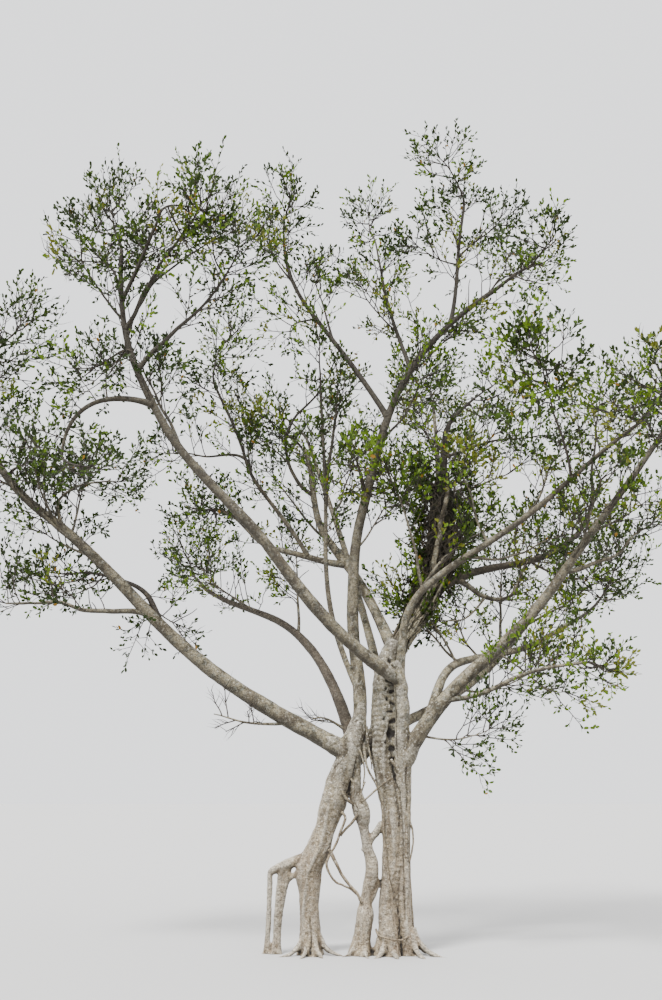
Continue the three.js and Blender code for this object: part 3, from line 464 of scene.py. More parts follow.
def random_source(seed):
    """Repeatable random numbers from 0 to 1, the same as the solids' rule draws."""
    state = seed
    word = 0xFFFFFFFF

    def draw():
        nonlocal state
        state = (state + 0x6D2B79F5) & word
        t = state
        t = ((t ^ (t >> 15)) * (t | 1)) & word
        t = (t ^ (t + (((t ^ (t >> 7)) * (t | 61)) & word))) & word
        return (t ^ (t >> 14)) / 4294967296

    return draw


def cell_noise(points, cell, seed):
    """Smooth noise from -1 to 1 at the points, in cells of one size or of a size along each axis."""
    place = points / np.asarray(cell)
    low = np.floor(place).astype(np.int64)
    part = place - low
    part = part * part * (3 - 2 * part)
    total = np.zeros(len(points))
    for corner in itertools.product((0, 1), repeat=3):
        key = low + corner
        mixed = (key[:, 0] * 73856093) ^ (key[:, 1] * 19349663) ^ (key[:, 2] * 83492791)
        mixed = (mixed ^ (seed * 2654435761)) & 0x7FFFFFFF
        mixed = ((mixed ^ (mixed >> 13)) * 1274126177) & 0x7FFFFFFF
        value = ((mixed ^ (mixed >> 15)) & 0xFFFF) / 32767.5 - 1
        total += value * np.prod(np.where(corner, part, 1 - part), axis=1)
    return total


def smooth_line(points, step):
    """A smooth line through the points, resampled at about that step. Points may carry a radius."""
    points = np.asarray(points, float)
    padded = np.vstack([2 * points[0] - points[1], points, 2 * points[-1] - points[-2]])
    rows = []
    for i in range(len(points) - 1):
        a, b, c, d = padded[i:i + 4]
        pieces = max(1, int(round(np.linalg.norm(c[:3] - b[:3]) / step)))
        t = np.arange(pieces)[:, None] / pieces
        rows.append(0.5 * (2 * b + (c - a) * t + (2 * a - 5 * b + 4 * c - d) * t ** 2
                           + (3 * b - a - 3 * c + d) * t ** 3))
    rows.append(points[-1:])
    return np.vstack(rows)


def sweep(line, radii, sides, shape=None):
    """The vertices and triangles of a closed tube round a line. shape(turn, points) swells it."""
    line = np.asarray(line, float)
    along = unit(np.gradient(line, axis=0))
    side = np.array([0.0, 1.0, 0.0]) if abs(along[0][1]) < 0.8 else np.array([1.0, 0.0, 0.0])
    sides_of_rings = np.zeros_like(line)
    for i, way in enumerate(along):
        side = side - way * side.dot(way)
        side = side / np.linalg.norm(side)
        sides_of_rings[i] = side
    across = np.cross(along, sides_of_rings)
    turn = 2 * np.pi * np.arange(sides) / sides
    out = (np.cos(turn)[None, :, None] * sides_of_rings[:, None, :]
           + np.sin(turn)[None, :, None] * across[:, None, :])
    rings = line[:, None, :] + out * np.asarray(radii)[:, None, None]
    if shape is not None:
        swell = shape(np.broadcast_to(turn, rings.shape[:2]), rings)
        rings = line[:, None, :] + out * (np.asarray(radii)[:, None] * swell)[:, :, None]
    count = len(line)
    vertices = np.vstack([rings.reshape(-1, 3), line[:1], line[-1:]])
    k = np.arange(sides)
    following = (k + 1) % sides
    base = (np.arange(count - 1) * sides)[:, None]
    a, b = base + k, base + following
    walls = np.stack([a, b, b + sides, a, b + sides, a + sides], axis=-1).reshape(-1, 3)
    last = (count - 1) * sides
    first_end = np.stack([np.full(sides, count * sides), following, k], axis=-1)
    last_end = np.stack([np.full(sides, count * sides + 1), last + k, last + following], axis=-1)
    return vertices, np.vstack([walls, first_end, last_end])


def joined(shapes):
    """Several lists of vertices and triangles as one."""
    shapes = list(shapes)
    starts = np.cumsum([0] + [len(v) for v, _ in shapes[:-1]])
    return (np.vstack([v for v, _ in shapes]),
            np.vstack([t + start for (_, t), start in zip(shapes, starts)]))


def make_object(name, vertices, triangles, materials, kinds=None):
    """A smooth-shaded mesh object at the origin, with a material index for each triangle."""
    mesh = bpy.data.meshes.new(name)
    count = len(triangles)
    mesh.vertices.add(len(vertices))
    mesh.vertices.foreach_set("co", np.ascontiguousarray(vertices, np.float32).ravel())
    mesh.loops.add(3 * count)
    mesh.loops.foreach_set("vertex_index", np.ascontiguousarray(triangles, np.int32).ravel())
    mesh.polygons.add(count)
    mesh.polygons.foreach_set("loop_start", np.arange(0, 3 * count, 3, dtype=np.int32))
    for material in materials:
        mesh.materials.append(material)
    if kinds is not None:
        mesh.polygons.foreach_set("material_index", np.asarray(kinds, np.int32))
    mesh.update(calc_edges=True)
    mesh.shade_smooth()
    made = bpy.data.objects.new(name, mesh)
    bpy.context.scene.collection.objects.link(made)
    return made


def add_attribute(mesh, name, values):
    """A number for each vertex, which a material reads by its name."""
    attribute = mesh.attributes.new(name, "FLOAT", "POINT")
    attribute.data.foreach_set("value", np.asarray(values, np.float32))


def dress(made, slot, *nodes):
    """Puts a finished piece on its body, in place of the solids that it stands for."""
    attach(made, BODY)
    if nodes:
        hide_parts(*nodes)
    return made


# Materials


def add_node(tree, kind, settings=None, values=None, links=None):
    """Adds a node with its settings, its input values and its links."""
    made = tree.nodes.new(kind)
    for name, value in (settings or {}).items():
        setattr(made, name, value)
    for name, value in (values or {}).items():
        made.inputs[name].default_value = value
    for name, source in (links or {}).items():
        tree.links.new(source, made.inputs[name])
    return made


# A Mix node's sockets for colours, by number because others have the same names

MIX_FACTOR, MIX_A, MIX_B, MIX_RESULT = 0, 6, 7, 2

# Typical values of the real materials

FIG_BARK_IOR = 1.45
LEAF_IOR = 1.42
PAINT_IOR = 1.5

# Heights over which the bark's warm foot fades and the painted shade of the crown sets in on its upper
# part, and how far down it faces, by its normal's Z, where the painted shade of its underside sets in

WARM_FOOT = (2.2, 0.7)
CROWN_SHADE_HEIGHTS = (2.7, 6.4)
UNDERSIDE_SHADE = (0.35, -0.7)


def blank_material(name, roughness, ior):
    """A material with one shader, and its tree and that shader."""
    material = bpy.data.materials.new(name)
    material.use_nodes = True
    tree = material.node_tree
    shader = tree.nodes["Principled BSDF"]
    shader.inputs["Roughness"].default_value = roughness
    shader.inputs["IOR"].default_value = ior
    return material, tree, shader


def laid_over(tree, below, colour, mask, span=(0, 1), share=1):
    """The colour below with another laid over it by up to a share, as the mask goes along its span."""
    amount = add_node(tree, "ShaderNodeMapRange",
                      values={"From Min": span[0], "From Max": span[1], "To Max": share},
                      links={"Value": mask})
    values = {MIX_B: colour}
    links = {MIX_FACTOR: amount.outputs["Result"]}
    if isinstance(below, bpy.types.NodeSocket):
        links[MIX_A] = below
    else:
        values[MIX_A] = below
    both = add_node(tree, "ShaderNodeMix", {"data_type": "RGBA"}, values, links)
    return both.outputs[MIX_RESULT]


def pattern(tree, place, grain, detail, span, stretch=(1, 1, 1)):
    """Noise with grains about that many millimetres across, taken from 0 to 1 over a span of it."""
    drawn_out = add_node(tree, "ShaderNodeMapping", values={"Scale": stretch}, links={"Vector": place})
    noise = add_node(tree, "ShaderNodeTexNoise", {"noise_dimensions": "3D"},
                     {"Scale": 1000 / grain, "Detail": detail, "Roughness": 0.6},
                     {"Vector": drawn_out.outputs["Vector"]})
    limits = add_node(tree, "ShaderNodeMapRange", {"interpolation_type": "SMOOTHSTEP"},
                      {"From Min": span[0], "From Max": span[1]}, {"Value": noise.outputs["Fac"]})
    return limits.outputs["Result"]


def fig_bark(name, colours, on_trunk=False, crown_shade_share=0.94):
    """Living fig bark: smooth and grey, with fine pores and pale lichen, painted shade on the side that
    faces down, in its pits and creases and high in the crown, and ridges lightened by wear and a painted
    highlight.

    Algae tint it in blotches of 110 mm and a cool crust in spots of 45 mm. Water marks it in streaks
    of 50 by 300 mm and stains of 260 mm, lichen sits on it in spots of 30 mm, and level cracks of 50
    by 11 mm ring it. Real pores are 1 to 3 mm across and wouldn't show from here, so they are drawn at
    14 mm. Pores and cracks stand in the bump as well. On the trunk the lichen is fuller and the foot
    is warmer.
    """
    material, tree, shader = blank_material(name, 0.78, FIG_BARK_IOR)
    place = add_node(tree, "ShaderNodeTexCoord").outputs["Object"]
    normal = add_node(tree, "ShaderNodeNewGeometry").outputs["Normal"]
    height = add_node(tree, "ShaderNodeSeparateXYZ", links={"Vector": place}).outputs["Z"]
    upward = add_node(tree, "ShaderNodeSeparateXYZ", links={"Vector": normal}).outputs["Z"]
    wear_and_highlight = add_node(tree, "ShaderNodeAttribute", {"attribute_name": "wear_and_highlight"}).outputs["Fac"]
    crevice_shade = add_node(tree, "ShaderNodeAttribute", {"attribute_name": "crevice_shade"}).outputs["Fac"]
    blotches = pattern(tree, place, 110, 4, (0.46, 0.6))
    crusts = pattern(tree, place, 45, 5, (0.52, 0.6))
    streaks = pattern(tree, place, 50, 3, (0.53, 0.75), (1, 1, 0.16))
    stains = pattern(tree, place, 260, 5, (0.5, 0.62), (1, 1, 0.7))
    lichen = pattern(tree, place, 30, 5, (0.56, 0.63))
    cracks = pattern(tree, place, 26, 3, (0.56, 0.66), (0.5, 0.5, 2.4))
    pores = pattern(tree, place, 14, 3, (0.48, 0.62))
    layers = [
        (colours.olive, blotches, (0, 1), 1),
        (colours.cool, crusts, (0, 1), 0.5),
        (colours.streak, streaks, (0, 1), 0.65),
        (colours.streak, stains, (0, 1), 0.7),
        (colours.lichen, lichen, (0, 1), 1 if on_trunk else 0.5),
    ]
    if on_trunk:
        layers.append((colours.foot, height, WARM_FOOT, 0.5))
    layers += [
        # Ridges lightened with lichen colour: wear and a painted highlight
        (colours.lichen, wear_and_highlight, (0, 1), 0.55),
        (colours.streak, cracks, (0, 1), 0.6),
        # Painted shade high in the crown: the bark grows darker upwards
        (colours.high, height, CROWN_SHADE_HEIGHTS, crown_shade_share),
        (colours.pore, pores, (0, 1), 0.58),
        # Painted shade on the side that faces down
        (colours.shade, upward, UNDERSIDE_SHADE, 0.85),
        # Painted shade in pits, creases and clefts
        (colours.crevice_shade, crevice_shade, (0, 1), 1),
    ]
    body = colours.grey
    for colour, mask, span, share in layers:
        body = laid_over(tree, body, colour, mask, span, share)
    tree.links.new(body, shader.inputs["Base Color"])
    rough = add_node(tree, "ShaderNodeMapRange", values={"To Min": 0.7, "To Max": 0.9},
                     links={"Value": pores})
    tree.links.new(rough.outputs["Result"], shader.inputs["Roughness"])
    grain = add_node(tree, "ShaderNodeMath", {"operation": "ADD"}, links={0: pores, 1: cracks})
    bump = add_node(tree, "ShaderNodeBump", {"invert": True}, {"Strength": 0.7, "Distance": 0.006},
                    {"Height": grain.outputs["Value"]})
    tree.links.new(bump.outputs["Normal"], shader.inputs["Normal"])
    return material


def root_fibre(fresh, weathered):
    """Dead and living aerial roots: dry fibrous brown, paler where the skin has weathered.

    It weathers in patches of 90 mm, and its fibres, a millimetre or less across, are drawn at 10 by
    50 mm so that they show in the bump.
    """
    material, tree, shader = blank_material("weathered root fibre", 0.85, FIG_BARK_IOR)
    place = add_node(tree, "ShaderNodeTexCoord").outputs["Object"]
    patches = pattern(tree, place, 90, 4, (0.4, 0.65))
    tree.links.new(laid_over(tree, fresh, weathered, patches), shader.inputs["Base Color"])
    fibre = pattern(tree, place, 10, 2, (0.4, 0.7), (1, 1, 0.2))
    bump = add_node(tree, "ShaderNodeBump", values={"Strength": 0.4, "Distance": 0.002},
                    links={"Height": fibre})
    tree.links.new(bump.outputs["Normal"], shader.inputs["Normal"])
    return material


def tangle_shadow(dark, light):
    """A dark core that stands for the shadow inside the root tangle, painted shadow: matt, nearly black,
    in crumbs of 40 mm.
    """
    material, tree, shader = blank_material("packed leaf litter", 0.95, FIG_BARK_IOR)
    place = add_node(tree, "ShaderNodeTexCoord").outputs["Object"]
    crumbs = pattern(tree, place, 40, 4, (0.4, 0.62))
    tree.links.new(laid_over(tree, dark, light, crumbs), shader.inputs["Base Color"])
    bump = add_node(tree, "ShaderNodeBump", values={"Strength": 0.8, "Distance": 0.02},
                    links={"Height": crumbs})
    tree.links.new(bump.outputs["Normal"], shader.inputs["Normal"])
    return material


def twig_bark(brown, scar):
    """Young fig twigs: thin smooth brown-grey bark, with paler leaf scars about 30 mm apart."""
    material, tree, shader = blank_material("young twig bark", 0.7, FIG_BARK_IOR)
    place = add_node(tree, "ShaderNodeTexCoord").outputs["Object"]
    scars = pattern(tree, place, 30, 2, (0.5, 0.68))
    tree.links.new(laid_over(tree, brown, scar, scars), shader.inputs["Base Color"])
    return material


def fig_leaf(name, colour):
    """One shade of fig leaf: leathery and waxy, so that it has a soft broad shine on a plain colour."""
    material, _, shader = blank_material(name, 0.5, LEAF_IOR)
    shader.inputs["Base Color"].default_value = colour
    shader.inputs["Specular IOR Level"].default_value = 0.2
    shader.inputs["Coat Weight"].default_value = 0.03
    shader.inputs["Coat Roughness"].default_value = 0.35
    return material


def painted_floor(colour):
    """A matt painted studio floor."""
    material, _, shader = blank_material("matt studio floor", 0.9, PAINT_IOR)
    shader.inputs["Base Color"].default_value = colour
    return material


# Growth of the limbs


def limb_points(limb, paths):
    """A limb's points, worked out by going along its heading and rise in short steps."""
    start = np.array(limb["start"]) if "start" in limb else point_on(paths[limb["on"]], limb["at"])
    steps = (len(limb["rise"]) - 1) * SUBSTEPS
    t = (np.arange(steps) + 0.5) / steps
    ways = way_of(value_at(limb["heading"], t), value_at(limb["rise"], t))
    return np.vstack([start, start + np.cumsum(ways * limb["length"] / steps, axis=0)])


def point_on(points, at):
    """The place at a fraction of a line of evenly spaced points."""
    place = at * (len(points) - 1)
    i = min(int(place), len(points) - 2)
    return points[i] + (points[i + 1] - points[i]) * (place - i)


def crooked(points, amount, cell, seed):
    """A line that keeps its start and wanders to the sides by up to about that amount."""
    wander = np.stack([cell_noise(points, cell, seed + k) for k in range(3)], axis=1)
    return points + amount * (wander - wander[:1])


def limb_radius(limb, t, collar=COLLAR):
    """A limb's radius at fraction t: an even taper with a swollen collar at its base."""
    swell = 1 + collar * np.exp(-t * limb["length"] / (2 * limb["base"]))
    return (limb["base"] + (limb["tip"] - limb["base"]) * t) * swell


def all_paths():
    """Every limb's and side branch's line of points, by name."""
    paths = {}
    for limb in LIMBS:
        paths[limb["name"]] = limb_points(limb, paths)
    for i, limb in enumerate(SIDE_BRANCHES):
        line = limb_points(limb, paths)
        seed = SEEDS["branches"] + i
        paths[limb["name"]] = crooked(line, BRANCH_WANDER, BRANCH_WANDER_CELL, seed)
    return paths


PATHS = all_paths()

# The trunk

# A strand's tube: the distance between its rings, its sides and how much thicker than the solid it is,
# which the relaxing takes off again. Toes of a strand's foot fade out at a height.

STRAND_STEP = 0.03
STRAND_SIDES = 28
STRAND_EXTRA = 0.003
TOE_HEIGHT = 0.32

# A toe that runs out: its tube, the shares of its reach and of its radius at its four places, and the
# heights at which it lies and ends

TOE_STEP = 0.02
TOE_SIDES = 12
TOE_REACHES = (0, 0.22, 0.55, 1)
TOE_WIDTHS = (0.9, 1.05, 0.8, 0.45)
TOE_DROP = 0.38
TOE_LIES = 0.018
TOE_ENDS = -0.015

# A ridge's tube, the waves (size in radians, pace, share of its turn) by which it wanders round its
# strand, how far it is sunk in, and how it thins to its ends

RIDGE_STEP = 0.04
RIDGE_SIDES = 10
RIDGE_WAVES = ((0.35, 2.3, 1), (0.2, 5.1, 2))
RIDGE_SUNK = 0.25
RIDGE_THINNING = 4
RIDGE_BEYOND = (0.08, 0.05)
RIDGE_TIP = 0.4

# A bough's foot, in radii of its base: how far it bends down, behind and into the trunk, its length and
# its girth there. What the fillet adds to its radius at either end is in metres.

FOOT_DOWN = 1.2
FOOT_BEHIND = 1.25
FOOT_BURIED = 1.5
FOOT_LENGTH = 5.5
FOOT_THICKENS_OVER = 3
BURIED_WIDTH = 0.7
BEHIND_WIDTH = 0.95
FOOT_STATIONS = 8
FOOT_SWELL = 0.006
FOOT_SHRINK = -0.012
FOOT_SIDES = 20

# An aerial rootlet: its tube, how uneven and how crooked it is, and its taper

ROOTLET_STEP = 0.02
ROOTLET_SIDES = 8
ROOTLET_UNEVEN = 0.18
ROOTLET_UNEVEN_CELL = 0.06
ROOTLET_WANDER = 0.004
ROOTLET_WANDER_CELL = 0.05
ROOTLET_TAPER = (1.1, 0.35)

# The bark's relief: cells of its flutes, lumps and grain, level bands between two heights on the
# column, how far the column reaches round its middle, and how ragged the hollows and clefts are

FLUTE_CELL = (0.05, 0.05, 0.6)
LUMP_CELL = 0.12
GRAIN_CELL = (0.03, 0.03, 0.022)
BANDS_FROM = 1.7
BANDS_TO = 3.2
BAND_SPACING = 0.055
BAND_DEPTH = 0.3
COLUMN_REACH = 0.15
NEAR_COLUMN = 0.19
RAGGED_CELL = 0.035
HOLLOW_RAGGED = 0.016
CLEFT_RAGGED = 0.006


def strand_tube(stations, toes=0, spread=0, first=0, step=STRAND_STEP, sides=STRAND_SIDES,
                extra=STRAND_EXTRA):
    """One strand of the trunk as a tube, with toes at its foot."""
    line = smooth_line(stations, step)

    def shape(turn, rings):
        nearness = np.clip(1 - rings[:, :, 2] / TOE_HEIGHT, 0, None)
        return 1 + spread * nearness ** 2 * np.cos(toes * (turn - math.radians(first)))

    return sweep(line[:, :3], line[:, 3] + extra, sides, shape)


def toe_stations(foot, toe):
    """The places and radii of a toe that bends from its foot's side out over the ground."""
    x, y, out = foot
    heading, height, reach, radius = toe
    way = way_of(heading, 0)
    far = out + reach * np.array(TOE_REACHES)
    heights = (height, TOE_DROP * height, TOE_LIES, TOE_ENDS)
    widths = radius * np.array(TOE_WIDTHS)
    return [(x + way[0] * d, y + way[1] * d, z, r) for d, z, r in zip(far, heights, widths)]


def ridge_tube(stations, turn, low, high, radius):
    """A slim root fused along the outside of a strand between two heights."""
    line = smooth_line(stations, RIDGE_STEP)
    kept = line[(line[:, 2] >= low - RIDGE_STEP) & (line[:, 2] <= high)]
    height = kept[:, 2]
    wander = sum(size * np.sin(height * pace + share * turn) for size, pace, share in RIDGE_WAVES)
    angle = math.radians(turn) + wander
    reach = kept[:, 3] - radius * RIDGE_SUNK
    centre = kept[:, :3] + np.stack([np.cos(angle) * reach, np.sin(angle) * reach, 0 * angle], axis=1)
    from_end = np.minimum(height - low + RIDGE_BEYOND[0], high - height + RIDGE_BEYOND[1])
    ends = np.minimum(1, RIDGE_THINNING * from_end)
    return sweep(centre, radius * np.clip(ends, RIDGE_TIP, 1), RIDGE_SIDES)


def foot_share(limb, t):
    """What share of its radius a bough of the trunk has at fraction t, as its foot sinks in slimmer."""
    slimmest = limb.get("foot", 1)
    grown = t * limb["length"] / (FOOT_THICKENS_OVER * limb["base"])
    return np.clip(slimmest + (1 - slimmest) * grown, 0, 1)


def bough_foot(limb):
    """A bough's foot, which bends down into the trunk at its back and meets the bough in a fillet."""
    path = PATHS[limb["name"]]
    way = unit(path[1] - path[0])
    down = unit(np.array([0, 0, -FOOT_DOWN]) - way)
    base = limb["base"]
    behind = path[0] + down * FOOT_BEHIND * base
    buried = behind + np.array([0, 0, -FOOT_BURIED * base])
    t = np.linspace(0, FOOT_LENGTH * base / limb["length"], FOOT_STATIONS)
    stations = [(*buried, BURIED_WIDTH * base), (*behind, BEHIND_WIDTH * base)]
    for fraction, extra in zip(t, np.linspace(FOOT_SWELL, FOOT_SHRINK, FOOT_STATIONS)):
        radius = limb_radius(limb, fraction) * foot_share(limb, fraction)
        stations.append((*point_on(path, fraction), radius + extra))
    line = smooth_line(stations, STRAND_STEP)
    return sweep(line[:, :3], line[:, 3], FOOT_SIDES)


def rootlet_tube(radius, places, seed):
    """An aerial rootlet through its places, uneven in thickness and thinning to its end."""
    line = smooth_line(places, ROOTLET_STEP)
    t = np.linspace(0, 1, len(line))
    uneven = 1 + ROOTLET_UNEVEN * cell_noise(line, ROOTLET_UNEVEN_CELL, seed)
    wander = np.stack([cell_noise(line, ROOTLET_WANDER_CELL, seed + k) for k in (1, 2, 3)], axis=1)
    thick, thinning = ROOTLET_TAPER
    return sweep(line + ROOTLET_WANDER * wander, radius * uneven * (thick - thinning * t), ROOTLET_SIDES)


def remeshed(vertices, triangles, voxel, rounds):
    """One closed skin round overlapping tubes, relaxed so that their joints become fillets."""
    rough = make_object("trunk draft", vertices, triangles, [])
    remesh = rough.modifiers.new("skin", "REMESH")
    remesh.mode = "VOXEL"
    remesh.voxel_size = voxel
    relax = rough.modifiers.new("relax", "SMOOTH")
    relax.factor = 0.5
    relax.iterations = rounds
    graph = bpy.context.evaluated_depsgraph_get()
    skin = bpy.data.meshes.new_from_object(rough.evaluated_get(graph))
    bpy.data.objects.remove(rough)
    return skin


def mesh_vectors(mesh, what):
    """The mesh's vertex places or normals as an array."""
    values = np.zeros(len(mesh.vertices) * 3, np.float32)
    if what == "co":
        mesh.vertices.foreach_get("co", values)
    else:
        mesh.vertex_normals.foreach_get("vector", values)
    return values.reshape(-1, 3).astype(float)


def relaxed(values, edges, rounds):
    """Values at vertices after rounds of taking the mean of each vertex's neighbours."""
    count = len(values)
    ends = np.concatenate([edges[:, 0], edges[:, 1]])
    others = np.concatenate([edges[:, 1], edges[:, 0]])
    share = 1 / np.maximum(np.bincount(ends, minlength=count), 1)
    for _ in range(rounds):
        sums = [np.bincount(ends, values[others, k], count) for k in range(3)]
        values = np.stack([total * share for total in sums], axis=1)
    return values


def cavity(mesh, rounds, depth):
    """How far the mesh sinks in, above 0, or stands out, below 0, at each vertex, from -1 to 1."""
    edges = np.zeros(len(mesh.edges) * 2, np.int32)
    mesh.edges.foreach_get("vertices", edges)
    places = mesh_vectors(mesh, "co")
    moved = relaxed(places, edges.reshape(-1, 2), rounds) - places
    return np.clip(np.sum(moved * mesh_vectors(mesh, "normal"), axis=1) / depth, -1, 1)


def distance_to_line(points, line):
    """How far each point of the plane is from a line through several places."""
    nearest = np.full(len(points), np.inf)
    for a, b in zip(line[:-1], line[1:]):
        a, b = np.array(a), np.array(b)
        t = np.clip((points - a) @ (b - a) / (b - a).dot(b - a), 0, 1)
        nearest = np.minimum(nearest, np.linalg.norm(points - a - t[:, None] * (b - a), axis=1))
    return nearest


def column_bands(places, on_column):
    """The level bands on the column: how strong they are at each place, and their wave there."""
    seed = SEEDS["relief"]
    height = places[:, 2]
    rising = np.clip((height - BANDS_FROM) / 0.4, 0, 1)
    banded = on_column * rising * np.clip((BANDS_TO - height) / 0.2, 0, 1)
    bent = 2.6 * cell_noise(places, (0.09, 0.09, 0.14), seed + 3)
    bent = bent + 1.4 * cell_noise(places, 0.04, seed + 4)
    wave = np.sin(2 * np.pi * height / BAND_SPACING + bent)
    strong = np.clip(0.6 + 0.9 * cell_noise(places, (0.1, 0.1, 0.25), seed + 5), 0.1, 1)
    return banded * strong, wave


def trunk_relief(places, normals, depth):
    """How far the bark stands out at each place, and the painted shade in its grooves, pits and clefts.
    """
    seed = SEEDS["relief"]
    flutes = cell_noise(places, FLUTE_CELL, seed)
    lumps = cell_noise(places, LUMP_CELL, seed + 1)
    grain = cell_noise(places, GRAIN_CELL, seed + 2)
    out = depth * (0.8 * flutes + 0.8 * lumps + 0.4 * grain)
    # Painted shade in the grooves between flutes
    crevice_shade = np.clip(-1.3 * (flutes + 0.5 * grain) - 0.9, 0, 1) * 0.4
    axis_x = np.interp(places[:, 2], [s[2] for s in COLUMN], [s[0] for s in COLUMN])
    from_column = np.hypot(places[:, 0] - axis_x, places[:, 1])
    bands, wave = column_bands(places, (from_column < COLUMN_REACH) * 1.0)
    out = out + bands * depth * BAND_DEPTH * wave
    # Painted shade in the troughs of the level bands
    crevice_shade = np.maximum(crevice_shade, 0.35 * bands * np.clip(-1.4 * wave - 0.7, 0, 1))
    faces_viewer = np.clip(-2 * normals[:, 1], 0, 1)
    near_column = np.clip((NEAR_COLUMN - from_column) / 0.02, 0, 1)
    wander = np.stack([cell_noise(places, RAGGED_CELL, seed + 6),
                       cell_noise(places, RAGGED_CELL, seed + 7)], axis=1)
    ragged = places[:, [0, 2]] + HOLLOW_RAGGED * wander
    for x, z, half_width, half_height in HOLLOWS:
        wide = np.abs(ragged[:, 0] - x) / half_width
        high = np.abs(ragged[:, 1] - z) / half_height
        dent = np.exp(-(wide ** 2 + high ** 2) ** 1.5) * faces_viewer * near_column
        out = out - HOLLOW_DEPTH * dent
        # Painted shade in each pit of the ladder
        crevice_shade = np.maximum(crevice_shade, 0.9 * dent)
    wavering = places[:, [0, 2]] + CLEFT_RAGGED * wander
    for half_width, deep, line in CLEFTS:
        dent = np.exp(-(distance_to_line(wavering, line) / half_width) ** 2) * faces_viewer
        out = out - deep * dent
        # Painted shade in each cleft
        crevice_shade = np.maximum(crevice_shade, 0.7 * dent)
    return out, crevice_shade


def shaded_creases(creases, sheltered):
    """The painted shade in the bark's creases and, less, where roots round it keep the light off."""
    return np.maximum(np.clip(1.2 * creases - 0.15, 0, 1), np.clip(0.75 * sheltered - 0.05, 0, 0.6))


def cut_at_ground(mesh):
    """Takes off what is below the ground and closes the cut."""
    work = bmesh.new()
    work.from_mesh(mesh)
    everything = work.verts[:] + work.edges[:] + work.faces[:]
    bmesh.ops.bisect_plane(work, geom=everything, plane_co=(0, 0, 0), plane_no=(0, 0, 1),
                           clear_inner=True)
    bmesh.ops.holes_fill(work, edges=[e for e in work.edges if e.is_boundary])
    bmesh.ops.triangulate(work, faces=[f for f in work.faces if len(f.verts) > 4])
    work.to_mesh(mesh)
    work.free()


class FigTrunkSettings(bpy.types.PropertyGroup):
    voxel: FloatProperty(
        name="Grain of the skin", description="Edge of the cells that fuse the trunk", default=0.0128,
        min=0.006, unit="LENGTH")
    fillet_rounds: IntProperty(
        name="Fillet rounds", description="Rounds of relaxing where roots meet", default=4, min=0)
    relief: FloatProperty(
        name="Relief", description="Depth of the bark's flutes and lumps", default=0.009, unit="LENGTH")
    # Painted shade in creases and in gaps between roots: how widely and how deep
    crease_rounds: IntProperty(
        name="Crease rounds", description="How widely a crease is darkened", default=14, min=1)
    crease_depth: FloatProperty(
        name="Crease depth", description="Hollow that is darkened in full", default=0.01, unit="LENGTH")
    shelter_rounds: IntProperty(
        name="Shelter rounds", default=70, min=1,
        description="How widely a gap between roots is darkened")
    shelter_depth: FloatProperty(
        name="Shelter depth", description="Gap that is darkened in full", default=0.03, unit="LENGTH")


class FigBarkSettings(bpy.types.PropertyGroup):
    grey: FloatVectorProperty(
        name="Grey", description="Main colour of sound bark", subtype="COLOR", size=4,
        default=linear(0x998F75))
    olive: FloatVectorProperty(
        name="Olive", description="Where algae tint the bark", subtype="COLOR", size=4,
        default=linear(0x4E4938))
    cool: FloatVectorProperty(
        name="Cool grey", description="Blue-grey crust in small spots", subtype="COLOR", size=4,
        default=linear(0x82867E))
    streak: FloatVectorProperty(
        name="Streak", description="Marks of running water", subtype="COLOR", size=4,
        default=linear(0x4A4032))
    lichen: FloatVectorProperty(
        name="Lichen", description="Pale crust of lichen", subtype="COLOR", size=4,
        default=linear(0xCEC8B8))
    foot: FloatVectorProperty(
        name="Foot", description="Warm tint low on the legs", subtype="COLOR", size=4,
        default=linear(0xB19B80))
    pore: FloatVectorProperty(
        name="Pore", description="Pores and fine cracks", subtype="COLOR", size=4,
        default=linear(0x352D24))
    # Painted shade high in the crown, on the upper boughs
    high: FloatVectorProperty(
        name="High", description="Bark of the upper boughs", subtype="COLOR", size=4,
        default=linear(0x28231B))
    # Painted shade on the side that faces down
    shade: FloatVectorProperty(
        name="Underside", description="Darker bark that faces down", subtype="COLOR", size=4,
        default=linear(0x2C271D))
    # Painted shade in pits and crevices
    crevice_shade: FloatVectorProperty(
        name="Hollow", description="Pits and crevices", subtype="COLOR", size=4,
        default=linear(0x1C1711))


